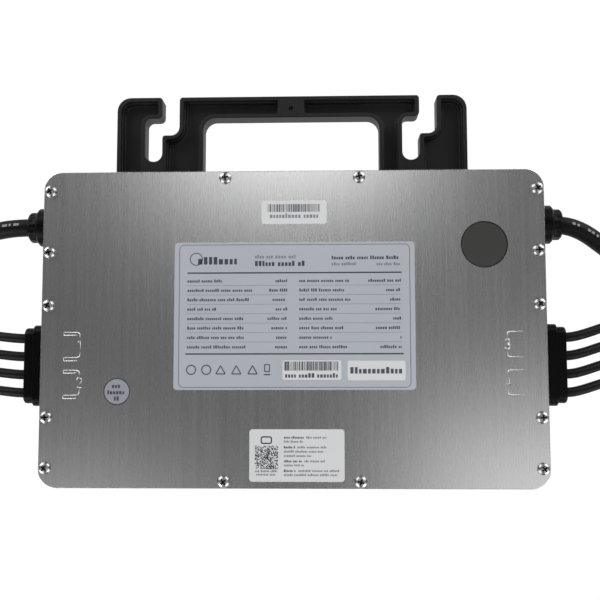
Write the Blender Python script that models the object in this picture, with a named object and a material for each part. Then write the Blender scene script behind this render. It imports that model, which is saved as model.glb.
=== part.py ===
"""Four-input solar micro inverter lying on its rear face, as an assembly of separate solids.

The origin is the centre of the housing's flat rear face. +X runs along the long side, +Y
towards the mounting bracket and +Z out of the cover plate. Every length below is in
millimetres, and new_object() and tube_object() turn it into metres.
"""

import math

import bmesh
import bpy
import numpy as np
from mathutils import Matrix, Vector

MM = 0.001
GAP = 0.3  # between solids that rest on each other
FILM_GAP = 0.1  # under a stuck-on label
OVERREACH = 1.0  # of a cutter past what it cuts, and of a united part into its neighbour

# Cover plate and the stack of parts under it
PLATE_LENGTH = 280.0
PLATE_WIDTH = 176.0
PLATE_TOP = 33.0
PLATE_THICKNESS = 1.5
PLATE_CORNER = 10.0
PLATE_UNDERSIDE = PLATE_TOP - PLATE_THICKNESS
RIM_TOP = PLATE_UNDERSIDE - 0.2
RIM_UNDERSIDE = 27.0
RIM_INSET = 1.0  # every inset is measured from the plate's edge
WALL_INSET = 5.5
CAVITY_INSET = 9.5
FLOOR_THICKNESS = 3.0
GASKET_INSET = 6.3
GASKET_WIDTH = 1.6
GASKET_DEPTH = 1.0
RECESS_SIZE = (55.0, 62.0)
RECESS_CORNER = 4.0
RECESS_DEPTH = 1.0
RECESS_PLACES = [(x, y) for x in (-96.0, -33.0, 33.0, 96.0) for y in (-36.0, 36.0)]

# Cover screws
SCREW_INSET = 3.8
SIDE_SCREW_PLACES = (77.0, 42.4, 12.5, -49.4, -77.0)
END_SCREW_PLACE = 37.5
SCREW_SHANK = 3.0
SCREW_LENGTH = 8.0
SCREW_HEAD = 6.7
SCREW_HEAD_HEIGHT = 2.2
PLATE_HOLE_DIAMETER = 4.2
BOSS_DIAMETER = 7.0
BOSS_BOTTOM = 22.0

# Antenna window
WINDOW_PLACE = (106.5, 45.8)
WINDOW_DIAMETER = 26.0
WINDOW_EDGE = 0.5
WINDOW_FLANGE_WIDTH = 2.0
WINDOW_FLANGE_THICKNESS = 1.4

# Mounting bracket, whose places along X are measured from its own centre line
BRACKET_CENTRE = -1.2
BRACKET_REAR = 4.0
BRACKET_DEPTH = 12.5
BRACKET_FRONT = BRACKET_REAR + BRACKET_DEPTH
BRACKET_MIDDLE = BRACKET_REAR + BRACKET_DEPTH / 2
BRACKET_HALF_WIDTH = 102.0
BRACKET_TOP = 136.2
BRACKET_FOOT_TOP = 90.5
ARM_UNDERSIDE = 123.6
SLOT_STEP = 113.6
SLOT_FLOOR = 98.0
SLOT_WIDTH = 10.0
SLOT_STARTS = (-85.4, 64.5)
OUTER_CORNER = 8.0
MOUTH_CORNER = 2.5
STEP_CORNER = 5.0
STEP_LIP_CORNER = 2.0
ARM_CORNER = 3.0
HANDLE_HALF_WIDTH = 51.2
HANDLE_FOOT_CORNER = 2.5
HANDLE_TOP_CORNER = 7.0
RIB_WIDTH = 2.4
POCKET_START = 92.5
POCKET_DEPTH = 8.0
POCKET_STEP_DEPTH = 3.5
POCKET_STEP_WIDTH = 0.9
CENTRE_BLOCK_HALF_WIDTH = 7.6
BRACKET_SCREW_PLACES = (-34.0, 0.0, 34.0)
BRACKET_SCREW_SHANK = 3.6
BRACKET_SCREW_LENGTH = 13.0
BRACKET_SCREW_HEAD = 7.0
BRACKET_SCREW_HEAD_HEIGHT = 2.1
BRACKET_BOSS_SIZE = (10.0, 4.0)
BRACKET_BOSS_TOP = 15.5

# Glands, which stand on the side walls
GLAND_HEIGHT = 15.0
WALL_OUTSIDE = PLATE_LENGTH / 2 - WALL_INSET
CAVITY_EDGE = PLATE_LENGTH / 2 - CAVITY_INSET
AC_PLACE = 59.5
AC_DIAMETER = 10.3
AC_SPIGOT = 16.0
AC_FLANGE_RADIUS = 11.0
AC_FLANGE_REACH = 147.5
AC_NUT_RADIUS = 8.9
AC_GLAND_REACH = 152.8
DC_PLACE = -20.6
DC_PITCH = 10.35
DC_DIAMETER = 5.5
DC_SPIGOT = (9.0, 38.0)  # high, and along the row of leads
DC_FLANGE = (16.0, 46.0)
DC_FLANGE_CORNER = 5.0
DC_FLANGE_REACH = 148.0
DC_BLOCK = (13.4, 43.0)
DC_BLOCK_CORNER = 4.5
DC_GLAND_REACH = 153.4
LEADS_PER_SIDE = 4
SIDES = {"right": (1, 0.0), "left": (-1, math.pi)}  # sign along X, and turn about Z

# Coiled end of each AC lead
COIL_CENTRE = (310.0, 62.0)
COIL_RADIUS = 52.0
COIL_TURNS = 2.5
COIL_PITCH = AC_DIAMETER + 0.1
AC_SPLIT = 268.0  # where the tube hands over to the coil's solid
AC_CONNECTOR_DIAMETER = 25.0
AC_CONNECTOR_LENGTH = 65.0
AC_CONNECTOR_END = 255.0
AC_CONNECTOR_NUT_RADIUS = 10.2
AC_CONNECTOR_COLLAR_RADIUS = 11.2
AC_CONNECTOR_MOUTH_RADIUS = 8.2
AC_CONNECTOR_MOUTH_DEPTH = 3.0

# DC connectors, lying side by side
DC_CONNECTOR_DIAMETER = 18.0
DC_CONNECTOR_LENGTH = 62.0
DC_CONNECTOR_START = 314.0
DC_CONNECTOR_PITCH = 19.0
DC_CONNECTOR_FIRST = -17.5
DC_CONNECTOR_BODY_RADIUS = 7.4
DC_PLUG_RADIUS = 5.0
DC_SLEEVE_RADIUS = 7.6

# Routes as (distance from the centre, y, z): the leads leave both ends of the housing
AC_ROUTES = {
    "right": [
        (154.1, 59.0, 15.0),
        (159.0, 57.9, 14.8),
        (166.0, 55.2, 13.9),
        (175.0, 49.6, 12.0),
        (186.0, 42.0, 9.3),
        (198.0, 34.0, 7.0),
        (212.0, 26.6, 5.6),
        (228.0, 19.8, 5.2),
        (248.0, 13.6, 5.2),
        (275.0, 10.5, 5.2),
        (310.0, 10.0, 5.2),
    ],
    "left": [
        (153.3, 59.5, 15.0),
        (159.0, 59.4, 14.9),
        (167.0, 58.8, 14.1),
        (178.0, 57.0, 12.0),
        (192.0, 52.3, 8.6),
        (207.0, 44.2, 6.0),
        (222.0, 34.2, 5.2),
        (240.0, 23.2, 5.2),
        (262.0, 14.4, 5.2),
        (285.0, 10.8, 5.2),
        (310.0, 10.0, 5.2),
    ],
}
TAIL_ROUTE = [
    (310.0, 114.0, 31.2),
    (301.0, 114.0, 30.4),
    (291.0, 114.0, 27.4),
    (281.0, 114.0, 22.0),
    (272.0, 114.0, 16.7),
    (264.0, 114.0, 13.5),
    (259.0, 114.0, 12.65),
    (255.4, 114.0, 12.6),
]
# Each station: distance from the centre, share of the way to the connector's own place
# across, height, and how far the leads swing across on the right and on the left.
DC_STATIONS = [
    (154.3, 0.00, 15.0, 0.0, 0.0),
    (158.5, 0.00, 14.7, 0.5, 0.2),
    (166.0, 0.00, 13.3, 2.3, 0.9),
    (175.0, 0.01, 10.6, 5.3, 2.1),
    (186.0, 0.05, 7.0, 8.6, 3.4),
    (198.0, 0.13, 4.2, 10.7, 4.2),
    (211.0, 0.26, 2.9, 10.6, 4.2),
    (226.0, 0.43, 2.8, 8.4, 3.4),
    (242.0, 0.62, 2.8, 5.0, 2.0),
    (259.0, 0.79, 2.9, 2.0, 0.8),
    (277.0, 0.92, 4.1, 0.4, 0.1),
    (296.0, 0.99, 7.2, 0.0, 0.0),
    (313.7, 1.00, 9.1, 0.0, 0.0),
]

# Electronics inside
BOARD_LENGTH = 250.0
BOARD_WIDTH = 142.0
BOARD_THICKNESS = 1.6
BOARD_UNDERSIDE = 11.0
BOARD_TOP = BOARD_UNDERSIDE + BOARD_THICKNESS
PART_SEAT = BOARD_TOP + GAP
POST_PLACES = [(x, y) for x in (-118.0, 0.0, 118.0) for y in (-64.0, 64.0)]
POST_DIAMETER = 6.0
PIN_DIAMETER = 3.0
PIN_REACH = 1.0  # above the board
BOARD_HOLE_DIAMETER = 3.8
TRANSFORMER_PLACES = [(x, -24.0) for x in (-90.0, -30.0, 30.0, 90.0)]
CORE_SIZE = (34.0, 15.0)
CORE_HEIGHT = 16.5
WINDING_DIAMETER = 29.0
WINDING_HEIGHTS = (1.0, 14.0)  # its underside and top above the parts' seat
RADIO_BOARD_SIZE = (34.0, 26.0)
RADIO_BOARD_HEIGHTS = (24.0, 25.2)
HEADER_SIZE = (22.0, 2.5)
HEADER_OFFSET = 10.0
CHOKE_PLACE = (-98.0, 40.0)
CHOKE_RADII = (8.0, 17.0)
CHOKE_HEIGHT = 14.0
CHOKE_EDGE = 2.0
RELAY_PLACE = (-58.0, 40.0)
RELAY_SIZE = (29.0, 12.6)
RELAY_HEIGHT = 15.5
CAPACITOR_PLACES = [(x, 40.0) for x in (-20.0, 24.0)]
CAPACITOR_RADIUS = 8.0
CAPACITOR_LENGTH = 31.0
CAPACITOR_EDGE = 0.8

# Rating label on the cover
LABEL_SIZE = (133.5, 82.0)
LABEL_CORNER = 2.0
LABEL_PLACE = (1.2, 6.6)
LABEL_THICKNESS = 0.3

COLOURS = {  # colour, roughness, metallic
    "brushed_metal": ((0.52, 0.52, 0.53), 0.35, 1.0),
    "black_plastic": ((0.016, 0.016, 0.017), 0.55, 0.0),
    "window_plastic": ((0.045, 0.045, 0.045), 0.5, 0.0),
    "black_rubber": ((0.014, 0.014, 0.015), 0.65, 0.0),
    "seal_rubber": ((0.05, 0.05, 0.05), 0.8, 0.0),
    "screw_steel": ((0.62, 0.61, 0.58), 0.25, 1.0),
    "label_film": ((0.38, 0.40, 0.43), 0.45, 0.0),
    "board_green": ((0.02, 0.13, 0.05), 0.5, 0.0),
    "potting_grey": ((0.16, 0.16, 0.17), 0.7, 0.0),
    "ferrite": ((0.06, 0.06, 0.065), 0.6, 0.2),
    "relay_blue": ((0.05, 0.12, 0.35), 0.4, 0.0),
    "capacitor_sleeve": ((0.02, 0.02, 0.05), 0.35, 0.0),
}


def clear_scene():
    for obj in list(bpy.data.objects):
        bpy.data.objects.remove(obj)


def make_materials():
    """One Principled material for each entry of COLOURS."""
    made = {}
    for name, (colour, roughness, metallic) in COLOURS.items():
        material = bpy.data.materials.new(name)
        material.use_nodes = True
        shader = material.node_tree.nodes["Principled BSDF"]
        shader.inputs["Base Color"].default_value = (*colour, 1.0)
        shader.inputs["Roughness"].default_value = roughness
        shader.inputs["Metallic"].default_value = metallic
        made[name] = material
    return made


def corner_frame(corners, i):
    """A corner, the directions to its neighbours, half the angle between them, and if it is convex."""
    corner = Vector(corners[i][:2])
    back = (Vector(corners[i - 1][:2]) - corner).normalized()
    ahead = (Vector(corners[(i + 1) % len(corners)][:2]) - corner).normalized()
    return corner, back, ahead, back.angle(ahead) / 2, ahead.cross(back) > 0


def rounded(corners, steps):
    """The points of a counterclockwise outline of (x, y, radius) corners, each rounded by an arc."""
    points = []
    for i, (_, _, radius) in enumerate(corners):
        corner, back, ahead, half, convex = corner_frame(corners, i)
        if radius == 0:
            points.append(corner)
            continue
        centre = corner + (back + ahead).normalized() * radius / math.sin(half)
        start = corner + back * radius / math.tan(half) - centre
        turn = (math.pi - 2 * half) * (1 if convex else -1)
        points += [centre + Matrix.Rotation(turn * k / steps, 2) @ start for k in range(steps + 1)]
    return points


def inset(corners, distance):
    """The corners of a counterclockwise outline moved inwards, with each round corner's centre kept."""
    moved = []
    for i, (_, _, radius) in enumerate(corners):
        corner, back, ahead, half, convex = corner_frame(corners, i)
        side = 1 if convex else -1
        corner += (back + ahead).normalized() * side * distance / math.sin(half)
        moved.append((corner.x, corner.y, max(radius - side * distance, 0.0)))
    return moved


def rectangle(length, width, radius, centre=(0.0, 0.0)):
    """The corners of a rounded rectangle, counterclockwise."""
    signs = ((-1, -1), (1, -1), (1, 1), (-1, 1))
    return [(centre[0] + x * length / 2, centre[1] + y * width / 2, radius) for x, y in signs]


def plate_outline(distance):
    """The cover plate's outline moved inwards."""
    return inset(rectangle(PLATE_LENGTH, PLATE_WIDTH, PLATE_CORNER), distance)


def prism(corners, low, high, steps=4):
    """A solid of this outline between two heights."""
    bm = bmesh.new()
    base = bm.faces.new([bm.verts.new((p.x, p.y, low)) for p in rounded(corners, steps)])
    extruded = bmesh.ops.extrude_face_region(bm, geom=[base])["geom"]
    top = [v for v in extruded if isinstance(v, bmesh.types.BMVert)]
    bmesh.ops.translate(bm, vec=(0, 0, high - low), verts=top)
    bmesh.ops.recalc_face_normals(bm, faces=bm.faces)
    return bm


def turned(profile, segments=16):
    """A solid of revolution about Z from (radius, height) points. One that stays off the axis is a ring."""
    bm = bmesh.new()
    verts = [bm.verts.new((radius, 0, height)) for radius, height in profile]
    edges = [bm.edges.new(pair) for pair in zip(verts, verts[1:])]
    if profile[0][0] > 0:
        edges.append(bm.edges.new((verts[-1], verts[0])))
    bmesh.ops.spin(
        bm, geom=verts + edges, cent=(0, 0, 0), axis=(0, 0, 1), angle=2 * math.pi, steps=segments
    )
    bmesh.ops.remove_doubles(bm, verts=bm.verts, dist=1e-4)
    bmesh.ops.recalc_face_normals(bm, faces=bm.faces)
    return bm


def cylinder(diameter, low, high, segments=16):
    """An upright cylinder about Z."""
    radius = diameter / 2
    return turned([(0, low), (radius, low), (radius, high), (0, high)], segments)


def placed(bm, location, turn=None):
    """Turns a shape about the origin, then moves it."""
    matrix = Matrix.Translation(location) @ (turn or Matrix.Identity(4))
    bmesh.ops.transform(bm, matrix=matrix, verts=bm.verts)
    return bm


def along_x(bm):
    """Lays a shape that was made about Z along X, its top towards +X."""
    return placed(bm, (0, 0, 0), Matrix.Rotation(math.pi / 2, 4, "Y"))


def joined(shapes):
    """Several shapes as one mesh of separate bodies, for cutters."""
    whole = bmesh.new()
    for shape in shapes:
        mesh = bpy.data.meshes.new("joined")
        shape.to_mesh(mesh)
        shape.free()
        whole.from_mesh(mesh)
        bpy.data.meshes.remove(mesh)
    return whole


def new_object(name, bm, material=None, location=(0, 0, 0)):
    """A mesh object in metres from a shape in millimetres."""
    mesh = bpy.data.meshes.new(name)
    bmesh.ops.scale(bm, vec=(MM, MM, MM), verts=bm.verts)
    bm.to_mesh(mesh)
    bm.free()
    mesh.shade_smooth()
    mesh.set_sharp_from_angle(angle=math.radians(35))
    obj = bpy.data.objects.new(name, mesh)
    obj.location = Vector(location) * MM
    if material:
        mesh.materials.append(material)
    bpy.context.scene.collection.objects.link(obj)
    return obj


def combine(obj, operation, bm):
    """Adds or cuts away a shape given in the object's own frame."""
    helper = new_object(f"{obj.name}_{operation.lower()}", bm)
    helper.parent = obj
    helper.hide_render = True
    helper.display_type = "WIRE"
    modifier = obj.modifiers.new(operation.title(), "BOOLEAN")
    modifier.operation = operation
    modifier.solver = "EXACT"
    modifier.object = helper


def smooth_curve(route, spacing):
    """Points about evenly spaced along a natural cubic spline through the route's points."""
    route = np.array(route, float)
    knots = np.concatenate([[0.0], np.cumsum(np.linalg.norm(np.diff(route, axis=0), axis=1))])
    step = np.diff(knots)
    slope = np.diff(route, axis=0) / step[:, None]
    system = np.eye(len(route))
    target = np.zeros_like(route)
    for i in range(1, len(route) - 1):
        system[i, i - 1 : i + 2] = step[i - 1], 2 * (step[i - 1] + step[i]), step[i]
        target[i] = 6 * (slope[i] - slope[i - 1])
    bend = np.linalg.solve(system, target)
    along = np.linspace(0.0, knots[-1], max(int(round(knots[-1] / spacing)), 2) + 1)
    i = np.clip(np.searchsorted(knots, along, side="right") - 1, 0, len(step) - 1)
    near = (along - knots[i])[:, None]
    far = (knots[i + 1] - along)[:, None]
    width = step[i][:, None]
    curved = (bend[i] * far**3 + bend[i + 1] * near**3) / (6 * width)
    straight_far = (route[i] / width - bend[i] * width / 6) * far
    straight_near = (route[i + 1] / width - bend[i + 1] * width / 6) * near
    return [Vector(p) for p in curved + straight_far + straight_near]


def tube_object(name, points, diameter, material):
    """A round lead as a bevelled curve with filled caps."""
    curve = bpy.data.curves.new(name, "CURVE")
    curve.dimensions = "3D"
    curve.bevel_depth = diameter / 2 * MM
    curve.bevel_resolution = 2
    curve.use_fill_caps = True
    curve.materials.append(material)
    spline = curve.splines.new("POLY")
    spline.points.add(len(points) - 1)
    for place, point in zip(spline.points, points):
        place.co = (*(point * MM), 1.0)
    obj = bpy.data.objects.new(name, curve)
    bpy.context.scene.collection.objects.link(obj)
    return obj


def tube_shape(points, diameter, material):
    """The same tube as a mesh shape, in millimetres, to unite with another solid."""
    obj = tube_object("tube_shape", points, diameter, material)
    bm = bmesh.new()
    bm.from_mesh(bpy.data.meshes.new_from_object(obj))
    bpy.data.objects.remove(obj)
    bmesh.ops.scale(bm, vec=(1 / MM, 1 / MM, 1 / MM), verts=bm.verts)
    bmesh.ops.remove_doubles(bm, verts=bm.verts, dist=1e-3)
    bmesh.ops.recalc_face_normals(bm, faces=bm.faces)
    return bm


def cover_screw_places():
    """The 14 places around the plate's edge, as (x, y)."""
    side = PLATE_LENGTH / 2 - SCREW_INSET
    end = PLATE_WIDTH / 2 - SCREW_INSET
    return (
        [(-side, y) for y in SIDE_SCREW_PLACES]
        + [(side, y) for y in SIDE_SCREW_PLACES]
        + [(x, y) for y in (end, -end) for x in (-END_SCREW_PLACE, END_SCREW_PLACE)]
    )


def bracket_screw_places():
    """The places along X of the screws through the bracket's foot."""
    return [BRACKET_CENTRE + x for x in BRACKET_SCREW_PLACES]


def screw_shape(shank, length, head, head_height):
    """A pan-head screw about Z with the head's seat at height 0."""
    radius = head / 2
    shoulder, brim = 0.65 * radius, 0.3 * head_height
    profile = [
        (0, head_height),
        (shoulder, 0.9 * head_height),
        (radius, brim),
        (radius, 0),
        (shank / 2, 0),
        (shank / 2, -length),
        (0, -length),
    ]
    return turned(profile, segments=12)


def rear_recesses():
    """Eight shallow panels in the back, which leave a cross of flat ribs through the middle."""
    outlines = [rectangle(*RECESS_SIZE, RECESS_CORNER, place) for place in RECESS_PLACES]
    return joined([prism(outline, -OVERREACH, RECESS_DEPTH, steps=2) for outline in outlines])


def rear_housing(material):
    """The moulded tray: flanged rim, bosses for the cover screws, posts for the board, gland holes."""
    housing = new_object("rear_housing", prism(plate_outline(WALL_INSET), 0, RIM_TOP), material)
    combine(housing, "UNION", prism(plate_outline(RIM_INSET), RIM_UNDERSIDE, RIM_TOP))
    bosses = [
        placed(cylinder(BOSS_DIAMETER, BOSS_BOTTOM, RIM_TOP - 0.1), (x, y, 0))
        for x, y in cover_screw_places()
    ]
    combine(housing, "UNION", joined(bosses))
    combine(housing, "DIFFERENCE", prism(plate_outline(CAVITY_INSET), FLOOR_THICKNESS, PLATE_TOP))
    combine(housing, "UNION", joined(housing_posts() + bracket_screw_bosses()))
    groove = gasket_shape(GASKET_INSET - GAP, GASKET_WIDTH + 2 * GAP, PLATE_TOP)
    combine(housing, "DIFFERENCE", groove)
    combine(housing, "DIFFERENCE", joined(housing_holes()))
    combine(housing, "DIFFERENCE", rear_recesses())


def housing_posts():
    """Posts that carry the board, each with a pin through it."""
    post_top = BOARD_UNDERSIDE - GAP
    pin_top = BOARD_TOP + PIN_REACH
    start = FLOOR_THICKNESS - OVERREACH
    profile = [
        (0, start),
        (POST_DIAMETER / 2, start),
        (POST_DIAMETER / 2, post_top),
        (PIN_DIAMETER / 2, post_top),
        (PIN_DIAMETER / 2, pin_top),
        (0, pin_top),
    ]
    return [placed(turned(profile, segments=12), (x, y, 0)) for x, y in POST_PLACES]


def bracket_screw_bosses(margin=0.0):
    """Blocks inside the top wall that take the bracket's screws."""
    width = BRACKET_BOSS_SIZE[0] + 2 * margin
    depth = BRACKET_BOSS_SIZE[1] + margin + OVERREACH
    middle = PLATE_WIDTH / 2 - CAVITY_INSET + OVERREACH - depth / 2
    low, high = FLOOR_THICKNESS - OVERREACH, BRACKET_BOSS_TOP + margin
    outlines = [rectangle(width, depth, 0, (x, middle)) for x in bracket_screw_places()]
    return [prism(outline, low, high) for outline in outlines]


def housing_holes():
    """Holes for both kinds of screw and for the glands' spigots."""
    shank_hole = SCREW_SHANK + 2 * GAP
    hole_bottom = PLATE_TOP - SCREW_LENGTH - OVERREACH
    holes = [
        placed(cylinder(shank_hole, hole_bottom, PLATE_TOP, 12), (x, y, 0))
        for x, y in cover_screw_places()
    ]
    sideways = Matrix.Rotation(-math.pi / 2, 4, "X")
    hole_bottom = BRACKET_FOOT_TOP - BRACKET_SCREW_LENGTH - OVERREACH
    for x in bracket_screw_places():
        hole = cylinder(BRACKET_SCREW_SHANK + 2 * GAP, hole_bottom, BRACKET_FOOT_TOP, 12)
        holes.append(placed(hole, (x, 0, BRACKET_MIDDLE), sideways))
    reach = WALL_OUTSIDE - CAVITY_EDGE
    height, length = DC_SPIGOT
    for sign, _ in SIDES.values():
        middle = sign * (WALL_OUTSIDE + CAVITY_EDGE) / 2
        hole = along_x(cylinder(AC_SPIGOT + 2 * GAP, -reach, reach, 20))
        holes.append(placed(hole, (middle, AC_PLACE, GLAND_HEIGHT)))
        outline = rectangle(2 * reach, length + 2 * GAP, 0)
        hole = prism(outline, -height / 2 - GAP, height / 2 + GAP)
        holes.append(placed(hole, (middle, DC_PLACE, GLAND_HEIGHT)))
    return holes


def gasket_shape(distance, width, top):
    """A ring that follows the plate's edge, from the gasket groove's level up to a height."""
    low = RIM_TOP - GASKET_DEPTH
    outer = rounded(plate_outline(distance), 4)
    inner = rounded(plate_outline(distance + width), 4)
    bm = bmesh.new()
    sections = []
    for out, into in zip(outer, inner):
        section = [(out, low), (into, low), (into, top), (out, top)]
        sections.append([bm.verts.new((point.x, point.y, height)) for point, height in section])
    for here, following in zip(sections, sections[1:] + sections[:1]):
        for i in range(4):
            bm.faces.new((here[i], here[i - 1], following[i - 1], following[i]))
    bmesh.ops.recalc_face_normals(bm, faces=bm.faces)
    return bm


def cover_gasket(material):
    seal = placed(gasket_shape(GASKET_INSET, GASKET_WIDTH, RIM_TOP - 0.1 - GAP), (0, 0, GAP))
    new_object("cover_gasket", seal, material)


def cover_plate(material):
    """The flat plate with its screw holes and the hole for the antenna window."""
    plate = new_object("cover_plate", prism(plate_outline(0), PLATE_UNDERSIDE, PLATE_TOP, 6), material)
    low, high = PLATE_UNDERSIDE - OVERREACH, PLATE_TOP + OVERREACH
    holes = [
        placed(cylinder(PLATE_HOLE_DIAMETER, low, high, 12), (x, y, 0))
        for x, y in cover_screw_places()
    ]
    holes.append(placed(cylinder(WINDOW_DIAMETER, low, high, 32), (*WINDOW_PLACE, 0)))
    combine(plate, "DIFFERENCE", joined(holes))


def cover_screws(material):
    first = None
    for i, (x, y) in enumerate(cover_screw_places(), start=1):
        seat = (x, y, PLATE_TOP + GAP)
        name = f"cover_screw_{i:02d}"
        if first is None:
            shape = screw_shape(SCREW_SHANK, SCREW_LENGTH, SCREW_HEAD, SCREW_HEAD_HEIGHT)
            first = new_object(name, shape, material, seat)
        else:
            copy = bpy.data.objects.new(name, first.data)
            copy.location = Vector(seat) * MM
            bpy.context.scene.collection.objects.link(copy)


def antenna_window(material):
    """A plastic disc in the plate's hole, with a flange behind the plate."""
    outer = WINDOW_DIAMETER / 2 - GAP
    flange = WINDOW_DIAMETER / 2 + WINDOW_FLANGE_WIDTH
    flange_top = PLATE_UNDERSIDE - GAP
    flange_bottom = flange_top - WINDOW_FLANGE_THICKNESS
    profile = [
        (0, PLATE_TOP),
        (outer - WINDOW_EDGE, PLATE_TOP),
        (outer, PLATE_TOP - WINDOW_EDGE),
        (outer, flange_top),
        (flange, flange_top),
        (flange, flange_bottom),
        (0, flange_bottom),
    ]
    new_object("antenna_window", turned(profile, 32), material, (*WINDOW_PLACE, 0))


def bracket_outline():
    """The bracket's corners, counterclockwise from the foot: hooks, slots and the handle's bar."""
    floor_corner = SLOT_WIDTH / 2 - 0.1  # just short of a half circle
    corners = [
        (-BRACKET_HALF_WIDTH, PLATE_WIDTH / 2 - WALL_INSET + GAP, 0),
        (BRACKET_HALF_WIDTH, PLATE_WIDTH / 2 - WALL_INSET + GAP, 0),
        (BRACKET_HALF_WIDTH, BRACKET_TOP, OUTER_CORNER),
    ]
    for start in reversed(SLOT_STARTS):
        lower_end = start + SLOT_WIDTH
        mouth_end = lower_end + SLOT_WIDTH
        corners += [
            (mouth_end, BRACKET_TOP, MOUTH_CORNER),
            (mouth_end, SLOT_STEP, STEP_CORNER),
            (lower_end, SLOT_STEP, STEP_LIP_CORNER),
            (lower_end, SLOT_FLOOR, floor_corner),
            (start, SLOT_FLOOR, floor_corner),
            (start, ARM_UNDERSIDE, ARM_CORNER),
            (lower_end, ARM_UNDERSIDE, MOUTH_CORNER),
            (lower_end, BRACKET_TOP, MOUTH_CORNER),
        ]
    return corners + [(-BRACKET_HALF_WIDTH, BRACKET_TOP, OUTER_CORNER)]


def handle_opening(margin):
    """The corners of the hand hole, moved outwards by a margin."""
    low, high = BRACKET_FOOT_TOP - margin, ARM_UNDERSIDE + margin
    half = HANDLE_HALF_WIDTH + margin
    return [
        (-half, low, HANDLE_FOOT_CORNER),
        (half, low, HANDLE_FOOT_CORNER),
        (half, high, HANDLE_TOP_CORNER + margin),
        (-half, high, HANDLE_TOP_CORNER + margin),
    ]


def pocket_shape(name, distance, depth):
    """What a pocket takes away: the outline less a rib along every edge and the solid middle block."""
    low, high = BRACKET_FRONT - depth, BRACKET_FRONT + OVERREACH
    pocket = new_object(name, prism(inset(bracket_outline(), distance), low, high, steps=3))
    foot_height = POCKET_START - BRACKET_FOOT_TOP + 3 * SLOT_WIDTH
    foot = rectangle(3 * BRACKET_HALF_WIDTH, foot_height, 0, (0, POCKET_START - foot_height / 2))
    block_half = CENTRE_BLOCK_HALF_WIDTH + distance - RIB_WIDTH
    block = rectangle(2 * block_half, 4 * SLOT_WIDTH, 0, (0, BRACKET_TOP))
    for outline in (handle_opening(distance), foot, block):
        combine(pocket, "DIFFERENCE", prism(outline, low - OVERREACH, high + OVERREACH))
    pocket.hide_render = True
    pocket.display_type = "WIRE"
    return pocket


def mounting_bracket(material):
    """The moulded handle with two hooks, hollowed from the front and screwed to the housing's top wall."""
    shape = prism(bracket_outline(), BRACKET_REAR, BRACKET_FRONT, steps=3)
    bracket = new_object("mounting_bracket", shape, material, (BRACKET_CENTRE, 0, 0))
    opening = prism(handle_opening(0), BRACKET_REAR - OVERREACH, BRACKET_FRONT + OVERREACH)
    combine(bracket, "DIFFERENCE", opening)
    pockets = (
        ("bracket_pocket_upper", RIB_WIDTH, POCKET_STEP_DEPTH),
        ("bracket_pocket_lower", RIB_WIDTH + POCKET_STEP_WIDTH, POCKET_DEPTH),
    )
    for name, distance, depth in pockets:
        cut = bracket.modifiers.new(name, "BOOLEAN")
        cut.operation = "DIFFERENCE"
        cut.object = pocket_shape(name, distance, depth)
        cut.object.parent = bracket
    sideways = Matrix.Rotation(-math.pi / 2, 4, "X")
    low, high = PLATE_WIDTH / 2 - WALL_INSET - OVERREACH, BRACKET_FOOT_TOP + OVERREACH
    holes = []
    for x in BRACKET_SCREW_PLACES:
        hole = cylinder(BRACKET_SCREW_SHANK + 2 * GAP, low, high, 12)
        holes.append(placed(hole, (x, 0, BRACKET_MIDDLE), sideways))
    combine(bracket, "DIFFERENCE", joined(holes))


def bracket_screws(material):
    """Screws down through the bracket's foot into the housing."""
    sideways = Matrix.Rotation(-math.pi / 2, 4, "X")
    for i, x in enumerate(bracket_screw_places(), start=1):
        shape = screw_shape(
            BRACKET_SCREW_SHANK, BRACKET_SCREW_LENGTH, BRACKET_SCREW_HEAD, BRACKET_SCREW_HEAD_HEIGHT
        )
        seat = (x, BRACKET_FOOT_TOP + GAP, BRACKET_MIDDLE)
        new_object(f"bracket_screw_{i:02d}", placed(shape, (0, 0, 0), sideways), material, seat)


def ac_gland(side, material):
    """A flanged cable gland with its spigot through the wall."""
    seat = WALL_OUTSIDE + GAP
    profile = [
        (0, CAVITY_EDGE),
        (AC_SPIGOT / 2, CAVITY_EDGE),
        (AC_SPIGOT / 2, seat),
        (AC_FLANGE_RADIUS, seat),
        (AC_FLANGE_RADIUS, AC_FLANGE_REACH - 1.1),
        (AC_FLANGE_RADIUS - 1.0, AC_FLANGE_REACH),
        (AC_NUT_RADIUS, AC_FLANGE_REACH + 0.3),
        (AC_NUT_RADIUS, AC_GLAND_REACH - 1.6),
        (AC_NUT_RADIUS - 1.0, AC_GLAND_REACH),
        (0, AC_GLAND_REACH),
    ]
    obj = new_object(
        f"ac_gland_{side}", along_x(turned(profile, 20)), material, (0, AC_PLACE, GLAND_HEIGHT)
    )
    obj.rotation_euler.z = SIDES[side][1]


def dc_gland(side, material):
    """An oblong gland block for the four leads, with its spigot through the wall."""
    facing = Matrix.Rotation(math.pi / 2, 4, "Y")  # an outline's x runs down and its height outwards
    seat = WALL_OUTSIDE + GAP
    flange = prism(rectangle(*DC_FLANGE, DC_FLANGE_CORNER), seat, DC_FLANGE_REACH, steps=3)
    block_start = DC_FLANGE_REACH - OVERREACH
    block = prism(rectangle(*DC_BLOCK, DC_BLOCK_CORNER), block_start, DC_GLAND_REACH, steps=3)
    spigot = prism(rectangle(*DC_SPIGOT, 0), CAVITY_EDGE, seat + OVERREACH)
    place = (0, DC_PLACE, GLAND_HEIGHT)
    obj = new_object(f"dc_gland_{side}", placed(flange, (0, 0, 0), facing), material, place)
    obj.rotation_euler.z = SIDES[side][1]
    combine(obj, "UNION", placed(block, (0, 0, 0), facing))
    combine(obj, "UNION", placed(spigot, (0, 0, 0), facing))


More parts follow.
